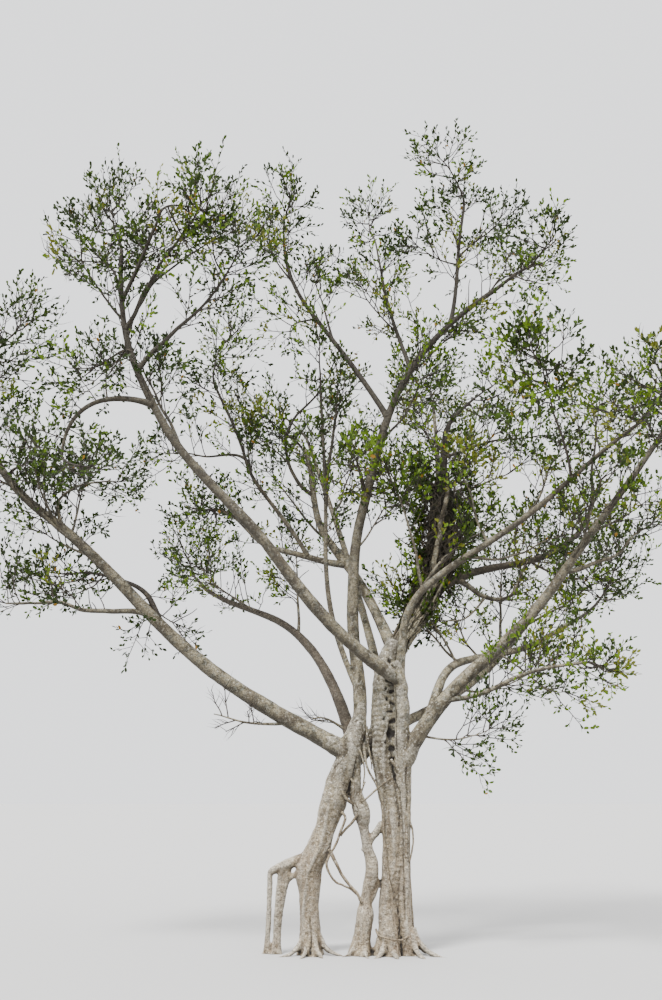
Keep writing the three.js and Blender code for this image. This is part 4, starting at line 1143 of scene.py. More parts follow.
class FIG_OT_trunk(bpy.types.Operator):
    """Fuse the column, the legs and the feet of the boughs into one barked trunk"""

    bl_idname = "fig.trunk"
    bl_label = "Trunk and legs"

    def execute(self, context):
        settings = context.scene.fig_trunk
        tubes = [strand_tube(*strand) for strand in STRANDS]
        tubes += [ridge_tube(*ridge) for ridge in RIDGES]
        for foot, toes in TOES:
            for toe in toes:
                stations = toe_stations(foot, toe)
                tubes.append(strand_tube(stations, step=TOE_STEP, sides=TOE_SIDES, extra=0))
        tubes += [bough_foot(limb) for limb in LIMBS if "start" in limb]
        skin = remeshed(*joined(tubes), settings.voxel, settings.fillet_rounds)
        places = mesh_vectors(skin, "co")
        normals = mesh_vectors(skin, "normal")
        out, crevice_shade = trunk_relief(places, normals, settings.relief)
        moved = places + normals * out[:, None]
        skin.vertices.foreach_set("co", moved.astype(np.float32).ravel())
        creases = cavity(skin, settings.crease_rounds, settings.crease_depth)
        sheltered = cavity(skin, settings.shelter_rounds, settings.shelter_depth)
        # Painted shade in creases and where roots round the bark keep the light off, with that of the
        # relief
        add_attribute(skin, "crevice_shade", np.maximum(crevice_shade, shaded_creases(creases, sheltered)))
        # Ridges lighter, as wear and a painted highlight
        add_attribute(skin, "wear_and_highlight", np.clip(-1.2 * creases - 0.1, 0, 1))
        cut_at_ground(skin)
        skin.name = "trunk_bark"
        skin.materials.clear()
        skin.materials.append(fig_bark(TRUNK_BARK, context.scene.fig_bark, on_trunk=True))
        skin.shade_smooth()
        made = bpy.data.objects.new("trunk_bark", skin)
        context.scene.collection.objects.link(made)
        dress(made, "bark", *TRUNK_NODES)
        return {"FINISHED"}


class FIG_OT_rootlets(bpy.types.Operator):
    """Lay thin aerial roots on the trunk and between its legs"""

    bl_idname = "fig.rootlets"
    bl_label = "Aerial rootlets"

    def execute(self, context):
        tubes = [rootlet_tube(*rootlet, SEEDS["rootlets"] + i) for i, rootlet in enumerate(ROOTLETS)]
        vertices, triangles = joined(tubes)
        vertices[:, 2] = np.maximum(vertices[:, 2], 0)
        made = make_object("aerial_rootlets", vertices, triangles, [bpy.data.materials[TRUNK_BARK]])
        dress(made, "bark")
        return {"FINISHED"}


# Boughs

# Sides of a bough by the radius at its base, the collar of one that grows from another, and its
# relief: the cells and heights of its lumps, and the rings of old leaf scars, as shares of its radius

SIDES_BY_GIRTH = ((0.08, 26), (0.04, 18), (0, 10))
SIDE_COLLAR = 0.5
BOUGH_LUMPS = (0.22, 0.07)
SMALL_LUMPS = (0.045, 0.035)
RINGS_APART = 0.09
RING_HEIGHT = 0.064
# How much of the painted shade high in the crown the pale bark keeps
PALE_CROWN_SHADE_SHARE = 0.25


def bough_skin(limb, step):
    """A bough as a tube with the bark's lumps, leaf scars and a flared collar."""
    flare = SIDE_COLLAR if "on" in limb else COLLAR
    line = smooth_line(PATHS[limb["name"]], step)
    t = np.linspace(0, 1, len(line))
    sides = next(count for girth, count in SIDES_BY_GIRTH if limb["base"] > girth)
    seed = SEEDS["boughs"] + sum(map(ord, limb["name"]))

    def shape(turn, rings):
        flat = rings.reshape(-1, 3)
        lumps = cell_noise(flat, BOUGH_LUMPS[0], seed).reshape(turn.shape)
        small = cell_noise(flat, SMALL_LUMPS[0], seed + 1).reshape(turn.shape)
        far = (t * limb["length"])[:, None]
        scars = np.clip(np.cos(2 * np.pi * far / RINGS_APART + 2.5 * lumps) - 0.8, 0, 1)
        return 1 + BOUGH_LUMPS[1] * lumps + SMALL_LUMPS[1] * small + RING_HEIGHT * scars

    return sweep(line, limb_radius(limb, t, flare) * foot_share(limb, t), sides, shape)


class FigBoughSettings(bpy.types.PropertyGroup):
    ring_step: FloatProperty(
        name="Ring step", description="Distance between two rings of a bough", default=0.026, min=0.01,
        unit="LENGTH")


class FIG_OT_boughs(bpy.types.Operator):
    """Sweep each bough with its bark's relief"""

    bl_idname = "fig.boughs"
    bl_label = "Boughs"

    def execute(self, context):
        scene = context.scene
        grey = fig_bark("smooth fig bark", scene.fig_bark)
        # A copy of the bark with less of the painted shade high in the crown
        pale = fig_bark(PALE_BARK, scene.fig_bark, crown_shade_share=PALE_CROWN_SHADE_SHARE)
        # A copy of the bark darkened as painted shade
        dark = fig_bark("shaded fig bark", scene.fig_dark_bark)
        step = scene.fig_boughs.ring_step
        for limb in LIMBS:
            is_dark = limb["name"] in DARK_LIMBS
            vertices, triangles = bough_skin(limb, step)
            bark = dark if is_dark else pale if limb["name"] in PALE_LIMBS else grey
            made = make_object(limb["name"] + "_bark", vertices, triangles, [bark])
            dress(made, "dark_bark" if is_dark else "bark", limb["name"])
        fine = joined(bough_skin(limb, step) for limb in SIDE_BRANCHES)
        made = make_object("side_branches", *fine, [grey])
        dress(made, "bark")
        return {"FINISHED"}


# Twigs and leaves

# A leaf for a length of 1, along, across and up, its triangles, and those of a three-sided twig

LEAF_SHAPE = np.array([
    (0, 0, 0), (0.34, 0.24, 0.04), (0.34, -0.24, 0.04), (0.5, 0, 0), (0.74, 0.24, 0.02),
    (0.74, -0.24, 0.02), (1, 0, -0.07),
])
LEAF_FACES = np.array([(0, 3, 1), (0, 2, 3), (1, 3, 4), (2, 5, 3), (4, 3, 6), (5, 6, 3)])
TWIG_FACES = np.array([
    (0, 1, 4), (0, 4, 3), (1, 2, 5), (1, 5, 4), (2, 0, 3), (2, 3, 5), (0, 2, 1), (3, 4, 6),
    (4, 5, 6), (5, 3, 6),
])
TWIG_THINS_TO = 0.7

# Each shade of leaf: its colour's name in the settings and its material's. Deep green stands for leaves
# in shade and light green for leaves in the light, as painted shade and painted light. What share of the
# sprays has each shade on the left and on the right, and what share of the leaves is a shade darker, as
# painted shade, or old.

LEAF_SHADES = dict(deep_green="deep green fig leaf", green="green fig leaf",
                   light_green="light green fig leaf", olive="olive fig leaf",
                   yellowing="yellowing fig leaf")
LEFT_SHARES = (0.4, 0.42, 0.14, 0.04, 0)
RIGHT_SHARES = (0.14, 0.34, 0.32, 0.2, 0)
SHADED_LEAF_SHARE = 0.3
OLD_LEAF_SHARE = 0.008
OLD_LEAF_KIND = 4

# The right's shades come in along +X and, less, +Y over this stretch, and fade below this height

RIGHT_SHADES_FROM = -3
RIGHT_SHADES_OVER = 2.6
RIGHT_SHADES_LEAN = 0.4
RIGHT_SHADES_TOP = 9.2
RIGHT_SHADES_FADE = 2
RIGHT_SHADES_LEAST = 0.2

# Leaves on a twiglet: where the first one is, how loosely they follow, how far they lean out in
# degrees and how much less at the tip, their lift, how they face, and their sizes

LEAVES_FROM = 0.4
LOOSE_STEP = 0.8
LOOSE_TURN = (-0.5, 0.5)
LEAF_LEAN = (34, 62)
LEAF_LEAN_LOSS = 0.45
LEAF_LIFT = np.array([0, 0, 0.22])
LEAF_FACES_UP = np.array([0, 0, 0.5])
LEAF_FACES_ALONG = 0.2
LEAF_FACES_LOOSE = 0.75
LEAF_SIZES = (0.72, 1.2)

# A spray's axis and its twiglets: their bow as a share of their length, the stretch with twiglets,
# their lean in degrees, their lift, reach and girth, and how far a twig's end rises, in metres

SPRAY_BOW = 0.07
AXIS_RISE = np.array([0, 0, 0.02])
TWIGLETS_FROM = 0.15
TWIGLETS_OVER = 0.75
TWIGLET_LEAN = (32, 62)
TWIGLET_LIFT = np.array([0, 0, 0.2])
TWIGLET_REACH = (0.66, 0.3)
TWIGLET_SIZES = (0.6, 1.25)
TWIGLET_RISE = np.array([0, 0, 0.012])
TWIGLET_GIRTH = 0.65

# A mass's stem and twigs: their points and sides, their radii, how far twigs spread within the space,
# stop short of it and sag, and how large a mass of usual size is

STEM_POINTS = 24
STEM_SIDES = 9
STEM_END_RADIUS = 0.006
STEM_TIP_SPRAYS = 2
USUAL_SIZE = 0.25
FEWEST_TWIGS = 5
TWIG_SPREAD = (0.8, 1.08)
TWIG_STOPS_SHORT = 0.6
TWIG_BOW = 0.1
TWIG_SAG = 0.14
TWIG_POINTS = 11
TWIG_SIDES = 5
TWIG_RADII = (0.011, 0.005)

# Sprays on a mass's twig: the stretch that bears them, how they swing out at the tip and lift, their
# lengths as shares, and how many of them keep to their twig's own shade. Sprays fan out from a tip.

SPRAYS_ALONG = (0.45, 0.95)
SHORTEST_FOR_STEP = 0.3
TIP_SWING = 0.15
SPRAY_LIFT = np.array([0, 0, 0.25])
SPRAY_SIZES = (0.5, 0.95)
OWN_SHADE_SHARE = 0.55
FAN = 0.7
FAN_SIZES = (0.55, 0.9)

# Shoots: a limb is fine below this radius, where the first one is on a limb, gaps and lengths on a
# fine limb and on a thick one, and the shoot's own way, bow, radii and sprays

FINE_LIMB = 0.035
FIRST_SHOOT = dict(fine=0.3, side=0.42, main=0.68)
FINE_GAPS = 0.6
GAP_SIZES = (0.6, 1.4)
SHOOT_SIZES = (0.14, 0.5)
FINE_SHOOT = 0.8
THICK_SHOOT = 1.15
SHOOT_ALONG = 0.55
SHOOT_LIFT = np.array([0, 0, 0.45])
SHOOT_RISE = 0.06
SHOOT_BOW = 0.08
SHOOT_POINTS = 8
SHOOT_RADII = (0.008, 0.0045)
SHOOT_SPRAY_AT = 0.55
SHOOT_SPRAY_LIFT = np.array([0, 0, 0.1])
SHOOT_SPRAY_SIZES = (0.45, 0.85)
BRANCH_TIP_SPRAYS = 3

# Leafless twigs on a bare branch's shoot: how many, from where, their way, reach in metres and girth

BARE_TWIGS = 6
BARE_TWIGS_FROM = 0.2
BARE_TWIG_FORK = 0.9
BARE_TWIG_LIFT = np.array([0, 0, 0.3])
BARE_TWIG_REACH = (0.1, 0.24)
BARE_TWIG_GIRTH = 0.6

# How far past the solids' box a twig or leaf may reach

BOX_MARGIN = 0.02


class Foliage:
    """Collects twigs as lines of three places, and leaves by their root, way, face, length and kind."""

    def __init__(self, seed):
        self.random = np.random.default_rng(seed)
        self.twigs = []
        self.leaves = []

    def add_twigs(self, start, middle, end, radius):
        """Adds bent twigs, an array of each place, that thin out to a point."""
        self.twigs.append((np.stack([start, middle, end], axis=1), np.full(len(start), radius)))

    def add_leaves(self, root, way, face, length, kind):
        """Adds leaves, an array of each value."""
        self.leaves.append((root, way, face, length, kind))


def any_side(ways, random):
    """A unit vector square to each way, at a random turn."""
    loose = random.normal(size=ways.shape)
    return unit(loose - ways * np.sum(loose * ways, axis=1, keepdims=True))


def turned(side, way, angle):
    """Side vectors turned round their ways by an angle."""
    return side * np.cos(angle)[:, None] + np.cross(way, side) * np.sin(angle)[:, None]


def add_leafy_twigs(foliage, root, middle, end, radius, kinds, count, length):
    """Twigs with leaves set along them by the golden turn, closer and steeper towards the tip."""
    random = foliage.random
    foliage.add_twigs(root, middle, end, radius)
    amount = len(root)
    way = unit(end - middle)
    side = any_side(way, random)
    for k in range(count):
        place_in_row = k + random.uniform(0, LOOSE_STEP, amount)
        t = LEAVES_FROM + (1 - LEAVES_FROM) * place_in_row / (count - LOOSE_STEP / 2)
        t = t.clip(0, 1)
        place = bezier(root, 2 * middle - (root + end) / 2, end, t)
        angle = np.radians(random.uniform(*LEAF_LEAN, amount) * (1 - LEAF_LEAN_LOSS * t))
        turn = np.full(amount, k * GOLDEN_TURN) + random.uniform(*LOOSE_TURN, amount)
        around = turned(side, way, turn)
        leaf_way = unit(way * np.cos(angle)[:, None] + around * np.sin(angle)[:, None] + LEAF_LIFT)
        loose = LEAF_FACES_LOOSE * random.normal(size=way.shape)
        face = unit(LEAF_FACES_UP + LEAF_FACES_ALONG * way + loose)
        size = length * random.uniform(*LEAF_SIZES, amount)
        # A share of the leaves is a shade darker: painted shade
        shaded = np.maximum(kinds - (random.random(amount) < SHADED_LEAF_SHARE), 0)
        aged = random.random(amount) < OLD_LEAF_SHARE
        foliage.add_leaves(place, leaf_way, face, size, np.where(aged, OLD_LEAF_KIND, shaded))


def add_sprays(foliage, roots, ways, lengths, kinds, settings, scale=1):
    """Leafy sprays: an axis that bends a little, and leafy twiglets round it by the golden turn."""
    random = foliage.random
    count = len(roots)
    leaf = settings.leaf_length * scale
    leaves = settings.leaves_on_twiglet
    radius = settings.twig_radius
    fine = radius * TWIGLET_GIRTH
    bow = any_side(ways, random) * (SPRAY_BOW * lengths)[:, None] + AXIS_RISE
    ends = roots + ways * lengths[:, None] + bow
    middles = roots + ways * (lengths * 0.5)[:, None] + bow * 0.25
    add_leafy_twigs(foliage, roots, middles, ends, radius, kinds, leaves, leaf)
    side = any_side(ways, random)
    for k in range(settings.twiglets):
        place_in_row = k + random.uniform(0, LOOSE_STEP, count)
        t = TWIGLETS_FROM + TWIGLETS_OVER * place_in_row / settings.twiglets
        root = roots + ways * (lengths * t)[:, None] + bow * (t ** 2)[:, None]
        angle = np.radians(random.uniform(*TWIGLET_LEAN, count))
        turn = np.full(count, k * GOLDEN_TURN) + random.uniform(*LOOSE_TURN, count)
        out = turned(side, ways, turn)
        way = unit(ways * np.cos(angle)[:, None] + out * np.sin(angle)[:, None] + TWIGLET_LIFT)
        share = TWIGLET_REACH[0] - TWIGLET_REACH[1] * t
        reach = lengths * share * random.uniform(*TWIGLET_SIZES, count)
        end = root + way * reach[:, None] + TWIGLET_RISE
        middle = (root + end) / 2 + any_side(way, random) * (SPRAY_BOW * reach)[:, None]
        bare = random.random(count) < settings.bare_share
        leafy = ~bare
        foliage.add_twigs(root[bare], middle[bare], end[bare], fine)
        add_leafy_twigs(foliage, root[leafy], middle[leafy], end[leafy], fine, kinds[leafy], leaves, leaf)


def even_ways(count, twist):
    """Directions spread evenly over a ball, as the solids' rule spreads them."""
    n = np.arange(count)
    up = 1 - (2 * n + 1) / count
    level = np.sqrt(1 - up * up)
    turn = n * GOLDEN_TURN + twist
    return np.stack([np.cos(turn) * level, np.sin(turn) * level, up], axis=1)


def bezier(a, b, c, t):
    """The place at t on a bend from a past b to c."""
    t = np.asarray(t)[..., None]
    return (1 - t) ** 2 * a + 2 * t * (1 - t) * b + t ** 2 * c


def mass_frame(mass):
    """A mass's stem: its bend's three places, its radius, how far its space reaches, and its length."""
    limb = next(l for l in LIMBS if l["name"] == mass["on"])
    path = PATHS[mass["on"]]
    at_tip = mass["at"] == 1
    tangent = unit(path[-1] - path[-2]) if at_tip else np.array([0.0, 0.0, 1.0])
    start = point_on(path, mass["at"]) + tangent * (GAP if at_tip else 0)
    centre = np.array(mass["centre"])
    size = np.array(mass["size"])
    stem_way = unit(centre - start)
    inward = np.linalg.norm(stem_way * size)
    end = centre + stem_way * STEM_BEYOND * inward
    length = np.linalg.norm(end - start)
    radius = limb_radius(limb, mass["at"]) * (STEM_AT_TIP if at_tip else STEM_AT_SIDE)
    return (start, start + tangent * length * STEM_STRAIGHT, end), radius, inward, length


def leaf_kind(random, place):
    """Which shade a spray's leaves have. The crown's middle, back and right have more light ones, whose
    lighter green is painted light.
    """
    along = place[0] + RIGHT_SHADES_LEAN * place[1] - RIGHT_SHADES_FROM
    below = (RIGHT_SHADES_TOP - place[2]) / RIGHT_SHADES_FADE
    right = min(1, max(0, along / RIGHT_SHADES_OVER)) * min(1, max(RIGHT_SHADES_LEAST, below))
    shares = (1 - right) * np.array(LEFT_SHARES) + right * np.array(RIGHT_SHARES)
    return int(np.searchsorted(np.cumsum(shares), random.random()))


def end_sprays(foliage, path, count, settings, scale=1):
    """Sprays that fan out from the tip of a stem or branch."""
    random = foliage.random
    tip_way = unit(path[-1] - path[-3])
    ways = unit(np.stack([tip_way + FAN * any_side(tip_way[None], random)[0] for _ in range(count)]))
    lengths = SPRAY_LENGTH * random.uniform(*FAN_SIZES, count)
    kinds = np.full(count, leaf_kind(random, path[-1]))
    add_sprays(foliage, np.repeat(path[-1:], count, axis=0), ways, lengths, kinds, settings, scale)


def mass_twig(random, root, target, seed):
    """A mass's twig, from its root on the stem to short of its target, and its length."""
    outward = target - root
    length = max(SHORTEST_TWIG, np.linalg.norm(outward) - SPRAY_LENGTH * TWIG_STOPS_SHORT)
    way = unit(outward)
    end = root + way * length
    sag = any_side(way[None], random)[0] * TWIG_BOW * length + np.array([0, 0, -TWIG_SAG * length])
    line = bezier(root, (root + end) / 2 + sag, end, np.linspace(0, 1, TWIG_POINTS))
    return crooked(line, TWIG_WANDER, TWIG_WANDER_CELL, seed), length


def add_twig_sprays(foliage, twig, length, target, mass, settings):
    """Sprays along the outer part of a mass's twig and at its tip, where they keep to its space."""
    random = foliage.random
    kind = leaf_kind(random, target)
    step = settings.spray_step / max(length, SHORTEST_FOR_STEP)
    places = np.append(np.arange(*SPRAYS_ALONG, step), 1)
    roots = np.array([point_on(twig, at) for at in places])
    tangents = unit(roots - np.array([point_on(twig, at - 0.1) for at in places]))
    sideways = any_side(tangents, random)
    swing = np.where(places == 1, TIP_SWING, random.uniform(*SPRAY_SWING, len(places)))
    ways = unit(tangents + sideways * swing[:, None] + SPRAY_LIFT)
    lengths = SPRAY_LENGTH * random.uniform(*SPRAY_SIZES, len(places))
    tips = roots + ways * lengths[:, None]
    from_centre = np.linalg.norm((tips - np.array(mass["centre"])) / np.array(mass["size"]), axis=1)
    inside = from_centre <= SPACE_SLACK
    if inside.any():
        other = [leaf_kind(random, target) for _ in range(inside.sum())]
        kinds = np.where(random.random(inside.sum()) < OWN_SHADE_SHARE, kind, other)
        add_sprays(foliage, roots[inside], ways[inside], lengths[inside], kinds, settings,
                   mass.get("leaf_scale", 1))


def grow_mass(foliage, stems, mass, seed, settings):
    """One mass by the solids' rule, with more twigs and sprays in the same space."""
    draw = random_source(seed)
    random = foliage.random
    bend, radius, inward, length = mass_frame(mass)
    size = np.array(mass["size"])
    stem = bezier(*bend, np.linspace(0, 1, STEM_POINTS))
    stem = crooked(stem, BRANCH_WANDER, BRANCH_WANDER_CELL, seed)
    stems.append(sweep(stem, np.linspace(radius, STEM_END_RADIUS, STEM_POINTS), STEM_SIDES))
    count = settings.twigs_in_mass * mass.get("fullness", 1) * (np.prod(size) / USUAL_SIZE) ** 0.5
    count = max(FEWEST_TWIGS, int(round(count)))
    first = max(FIRST_TWIG, 1 - (STEM_BEYOND + TWIGGED) * inward / length)
    edges = even_ways(count, draw() * 2 * math.pi) * size
    end_sprays(foliage, stem, STEM_TIP_SPRAYS, settings, mass.get("leaf_scale", 1))
    for n, edge in enumerate(edges):
        edge = edge * within(TWIG_REACH, draw()) * random.uniform(*TWIG_SPREAD)
        up = within((LAST_TWIG, first), (n + 0.5 * draw()) / (count - 0.5))
        target = np.array(mass["centre"]) + edge
        twig, twig_length = mass_twig(random, point_on(stem, up), target, seed + n)
        stems.append(sweep(twig, np.linspace(*TWIG_RADII, TWIG_POINTS), TWIG_SIDES))
        add_twig_sprays(foliage, twig, twig_length, target, mass, settings)


def add_bare_twigs(foliage, line, settings):
    """Fine leafless twigs that fork off a shoot."""
    random = foliage.random
    starts = random.uniform(BARE_TWIGS_FROM, 1, BARE_TWIGS)
    root = np.array([point_on(line, at) for at in starts])
    along = np.repeat(unit(line[-1:] - line[:1]), BARE_TWIGS, axis=0)
    way = unit(along + BARE_TWIG_FORK * any_side(along, random) + BARE_TWIG_LIFT)
    reach = random.uniform(*BARE_TWIG_REACH, BARE_TWIGS)[:, None]
    middle = root + way * reach * 0.5 + any_side(way, random) * reach * TWIG_BOW
    foliage.add_twigs(root, middle, root + way * reach, settings.twig_radius * BARE_TWIG_GIRTH)


def grow_shoots(foliage, stems, limb, settings):
    """Thin shoots along the outer part of a limb, each with a spray or two."""
    random = foliage.random
    path = PATHS[limb["name"]]
    fine = limb["base"] < FINE_LIMB
    first = FIRST_SHOOT["fine" if fine else "side" if "on" in limb else "main"]
    gaps = settings.shoot_gap * (FINE_GAPS if fine else 1) * limb.get("sparse", 1)
    at = first + random.random() * gaps / limb["length"]
    while at < 1:
        root = point_on(path, at)
        along = unit(point_on(path, min(1, at + 0.02)) - point_on(path, at - 0.02))
        out = any_side(along[None], random)[0]
        way = unit(SHOOT_ALONG * along + out + SHOOT_LIFT)
        length = random.uniform(*SHOOT_SIZES) * (FINE_SHOOT if fine else THICK_SHOOT)
        end = root + way * length + np.array([0, 0, SHOOT_RISE * length])
        middle = (root + end) / 2 + any_side(way[None], random)[0] * SHOOT_BOW * length
        line = bezier(root, middle, end, np.linspace(0, 1, SHOOT_POINTS))
        line = crooked(line, TWIG_WANDER, TWIG_WANDER_CELL, SEEDS["shoots"])
        stems.append(sweep(line, np.linspace(*SHOOT_RADII, SHOOT_POINTS), TWIG_SIDES))
        if limb.get("bare"):
            add_bare_twigs(foliage, line, settings)
        elif random.random() > settings.bare_share:
            kind = leaf_kind(random, end)
            roots = np.array([point_on(line, SHOOT_SPRAY_AT), line[-1]])
            ways = unit(np.stack([way + any_side(way[None], random)[0], way + SHOOT_SPRAY_LIFT]))
            lengths = SPRAY_LENGTH * random.uniform(*SHOOT_SPRAY_SIZES, 2)
            add_sprays(foliage, roots, ways, lengths, np.full(2, kind), settings)
        at += random.uniform(*GAP_SIZES) * gaps / limb["length"]
    if fine and not limb.get("bare"):
        end_sprays(foliage, path, BRANCH_TIP_SPRAYS, settings)


def twig_mesh(lines, radii):
    """Three-sided twigs through lines of three places, which end in a point, all at once."""
    along = unit(np.stack([lines[:, 1] - lines[:, 0], lines[:, 2] - lines[:, 0]], axis=1))
    helper = np.where(np.abs(along[:, 1, 2:3]) > 0.9, [[1.0, 0.0, 0.0]], [[0.0, 0.0, 1.0]])
    side = unit(np.cross(along, helper[:, None, :]))
    across = np.cross(along, side)
    turn = 2 * np.pi * np.arange(3) / 3
    out = (np.cos(turn)[None, None, :, None] * side[:, :, None, :]
           + np.sin(turn)[None, None, :, None] * across[:, :, None, :])
    thick = radii[:, None] * np.array([1, TWIG_THINS_TO])
    rings = (lines[:, :2, None, :] + out * thick[:, :, None, None]).reshape(len(lines), 6, 3)
    places = np.concatenate([rings, lines[:, 2:]], axis=1)
    triangles = TWIG_FACES[None] + (np.arange(len(lines)) * 7)[:, None, None]
    return places.reshape(-1, 3), triangles.reshape(-1, 3)


def leaf_mesh(root, way, face, length):
    """Folded elliptic leaves of six faces, with a drooping tip."""
    across = unit(np.cross(face, way))
    up = np.cross(way, across)
    shape = LEAF_SHAPE[None] * length[:, None, None]
    places = (root[:, None] + shape[:, :, 0:1] * way[:, None] + shape[:, :, 1:2] * across[:, None]
              + shape[:, :, 2:3] * up[:, None])
    triangles = LEAF_FACES[None] + (np.arange(len(root)) * len(LEAF_SHAPE))[:, None, None]
    return places.reshape(-1, 3), triangles.reshape(-1, 3)


def region_of(places):
    """Which region of the crown each place is in. A side's high region comes right after it."""
    x, y, z = places[:, 0], places[:, 1], places[:, 2]
    left, right, back = (REGIONS.index(region) for region in ("left", "right", "back"))
    return np.where(y > BACK_FROM, back, np.where(x < RIGHT_FROM, left, right) + (z > HIGH_FROM) * 1)


class FigFoliageSettings(bpy.types.PropertyGroup):
    leaf_length: FloatProperty(
        name="Leaf length", description="From stalk to tip", default=0.054, min=0.04, unit="LENGTH")
    leaves_on_twiglet: IntProperty(
        name="Leaves on a twiglet", description="Along it and at its tip", default=5, min=2)
    twiglets: IntProperty(
        name="Twiglets in a spray", description="Side twiglets on a spray's axis", default=5, min=1)
    twig_radius: FloatProperty(
        name="Twig radius", description="At the root of a spray", default=0.007, unit="LENGTH")
    twigs_in_mass: IntProperty(
        name="Twigs in a mass", description="Main twigs in a mass of usual size", default=13, min=3)
    spray_step: FloatProperty(
        name="Spray step", description="Distance between two sprays of a twig", default=0.15,
        unit="LENGTH")
    shoot_gap: FloatProperty(
        name="Shoot gap", description="Mean distance between two shoots of a bough", default=0.13,
        unit="LENGTH")
    bare_share: FloatProperty(
        name="Bare shoots", description="Share of shoots with no leaves", default=0.2, min=0, max=1,
        subtype="FACTOR")
    deep_green: FloatVectorProperty(
        name="Deep green", description="Leaves in the shade of others", subtype="COLOR", size=4,
        default=linear(0x24320B))
    green: FloatVectorProperty(
        name="Green", description="Most leaves", subtype="COLOR", size=4, default=linear(0x384C0D))
    light_green: FloatVectorProperty(
        name="Light green", description="Leaves in the light", subtype="COLOR", size=4,
        default=linear(0x566E10))
    olive: FloatVectorProperty(
        name="Olive", description="Sprays that have turned to olive", subtype="COLOR", size=4,
        default=linear(0x60641A))
    yellowing: FloatVectorProperty(
        name="Yellowing", description="A few old leaves", subtype="COLOR", size=4,
        default=linear(0x7C5C1E))
    twig: FloatVectorProperty(
        name="Twig", description="Bark of young twigs", subtype="COLOR", size=4,
        default=linear(0x2A241C))
    leaf_scar: FloatVectorProperty(
        name="Leaf scar", description="Paler marks on young twigs", subtype="COLOR", size=4,
        default=linear(0x4C4438))


class FIG_OT_foliage(bpy.types.Operator):
    """Grow stems, twigs and leaves in each mass and along the boughs"""

    bl_idname = "fig.foliage"
    bl_label = "Twigs and leaves"

    def execute(self, context):
        settings = context.scene.fig_foliage
        foliage = Foliage(SEEDS["foliage"])
        stems = []
        for i, mass in enumerate(MASSES):
            grow_mass(foliage, stems, mass, SEEDS["masses"] + MASS_SEED_STEP * i, settings)
        for limb in LIMBS + SIDE_BRANCHES:
            grow_shoots(foliage, stems, limb, settings)
        add_tangle_leaves(foliage, settings)
        bark = twig_bark(settings.twig, settings.leaf_scar)
        dress(make_object("foliage_stems", *joined(stems), [bark]), "bark")
        lines, radii = (np.concatenate(column) for column in zip(*foliage.twigs))
        kept = self.inside(lines[:, 2])
        lines, radii = lines[kept], radii[kept]
        leaves = [np.concatenate(column) for column in zip(*foliage.leaves)]
        root, way, _, length, _ = leaves
        kept = self.inside(root + way * length[:, None])
        root, way, face, length, kind = (column[kept] for column in leaves)
        shades = [fig_leaf(name, getattr(settings, part)) for part, name in LEAF_SHADES.items()]
        twig_regions = region_of(lines[:, 0])
        leaf_regions = region_of(root)
        mass_regions = region_of(np.array([mass["centre"] for mass in MASSES]))
        for r, region in enumerate(REGIONS):
            here = twig_regions == r
            dress(make_object("twigs_" + region, *twig_mesh(lines[here], radii[here]), [bark]), "foliage")
            here = leaf_regions == r
            vertices, triangles = leaf_mesh(root[here], way[here], face[here], length[here])
            kinds = np.repeat(kind[here], len(LEAF_FACES))
            made = make_object("leaves_" + region, vertices, triangles, shades, kinds)
            nodes = [mass["name"] for mass, at in zip(MASSES, mass_regions) if at == r]
            dress(made, "foliage", *nodes)
        return {"FINISHED"}

    def inside(self, places):
        """Whether each place is within the solids' own box."""
        low, high = (np.array(corner) for corner in CAD_BOX)
        return np.all((places > low - BOX_MARGIN) & (places < high + BOX_MARGIN), axis=1)


# The tangle of hanging roots

# How full the tangle is at fractions of its length, and its core's share of that and its relief

TANGLE_FULLNESS = ((0, 0.16, 0.4, 0.82, 1.05), (0.42, 0.66, 0.95, 1.05, 0.75))
CORE_SHARE = ((0, 0.1, 0.8, 1), (0.3, 0.64, 0.64, 0.25))
CORE_SPAN = (0.02, 0.98)
CORE_POINTS = 40
CORE_SIDES = 22
CORE_LUMPS = (0.13, 0.3)

# Sprays that stand out of the tangle: their count, lengths, slopes, shades and size of leaf. In front
# is a gap half this wide, in radians, along this stretch, and sprays in it are turned aside.

TANGLE_SPRAYS = 210
TANGLE_SPRAY_SIZES = (0.16, 0.36)
TANGLE_SPRAY_SLOPES = (-0.9, 0.5)
TANGLE_SHADES = (0.3, 0.4, 0.3)
TANGLE_LEAF_SCALE = 0.9
FRONT = 1.5 * math.pi
FRONT_HALF_WIDTH = 0.75
FRONT_SPAN = (0.25, 0.88)
TURNED_ASIDE = 1.7

# A hanging root: how far it hangs, its points for that, where its foot stops, how its turn and its
# reach wander, its radii and how many have each, in metres

HANGING_SPANS = (0.12, 0.6)
HANGING_POINTS = (12, 30)
HANGING_FEET = (-0.14, 0.12)
HANGING_TOP = 1.05
HANGING_TURN = 0.16
HANGING_TWIST = 1.1
HANGING_REACH = (0.7, 1.0)
HANGING_SWAY = (0.06, 0.4)
HANGING_LEAST_REACH = 0.1
HANGING_ROUGH = 0.004
HANGING_RADII = (0.0035, 0.005, 0.007, 0.011)
HANGING_SHARES = (0.35, 0.35, 0.2, 0.1)
HANGING_THINS_TO = 0.6

# The living root in front, and the bundle that clasps the bough below: stretches along the tangle,
# points, sides, wander and radii

FRONT_ROOT_SPAN = (0.86, 0.34)
FRONT_ROOT_POINTS = 20
FRONT_ROOT_SIDES = 12
FRONT_ROOT_RADII = (0.026, 0.034)
CLASPING_ROOTS = 60
CLASPING_TOPS = (0.1, 0.5)
CLASPING_FEET = (-0.2, -0.1)
CLASPING_POINTS = 18
CLASPING_SIDES = 6
CLASPING_RADII = (0.006, 0.01, 0.015)
CLASPING_THINS_TO = 0.8


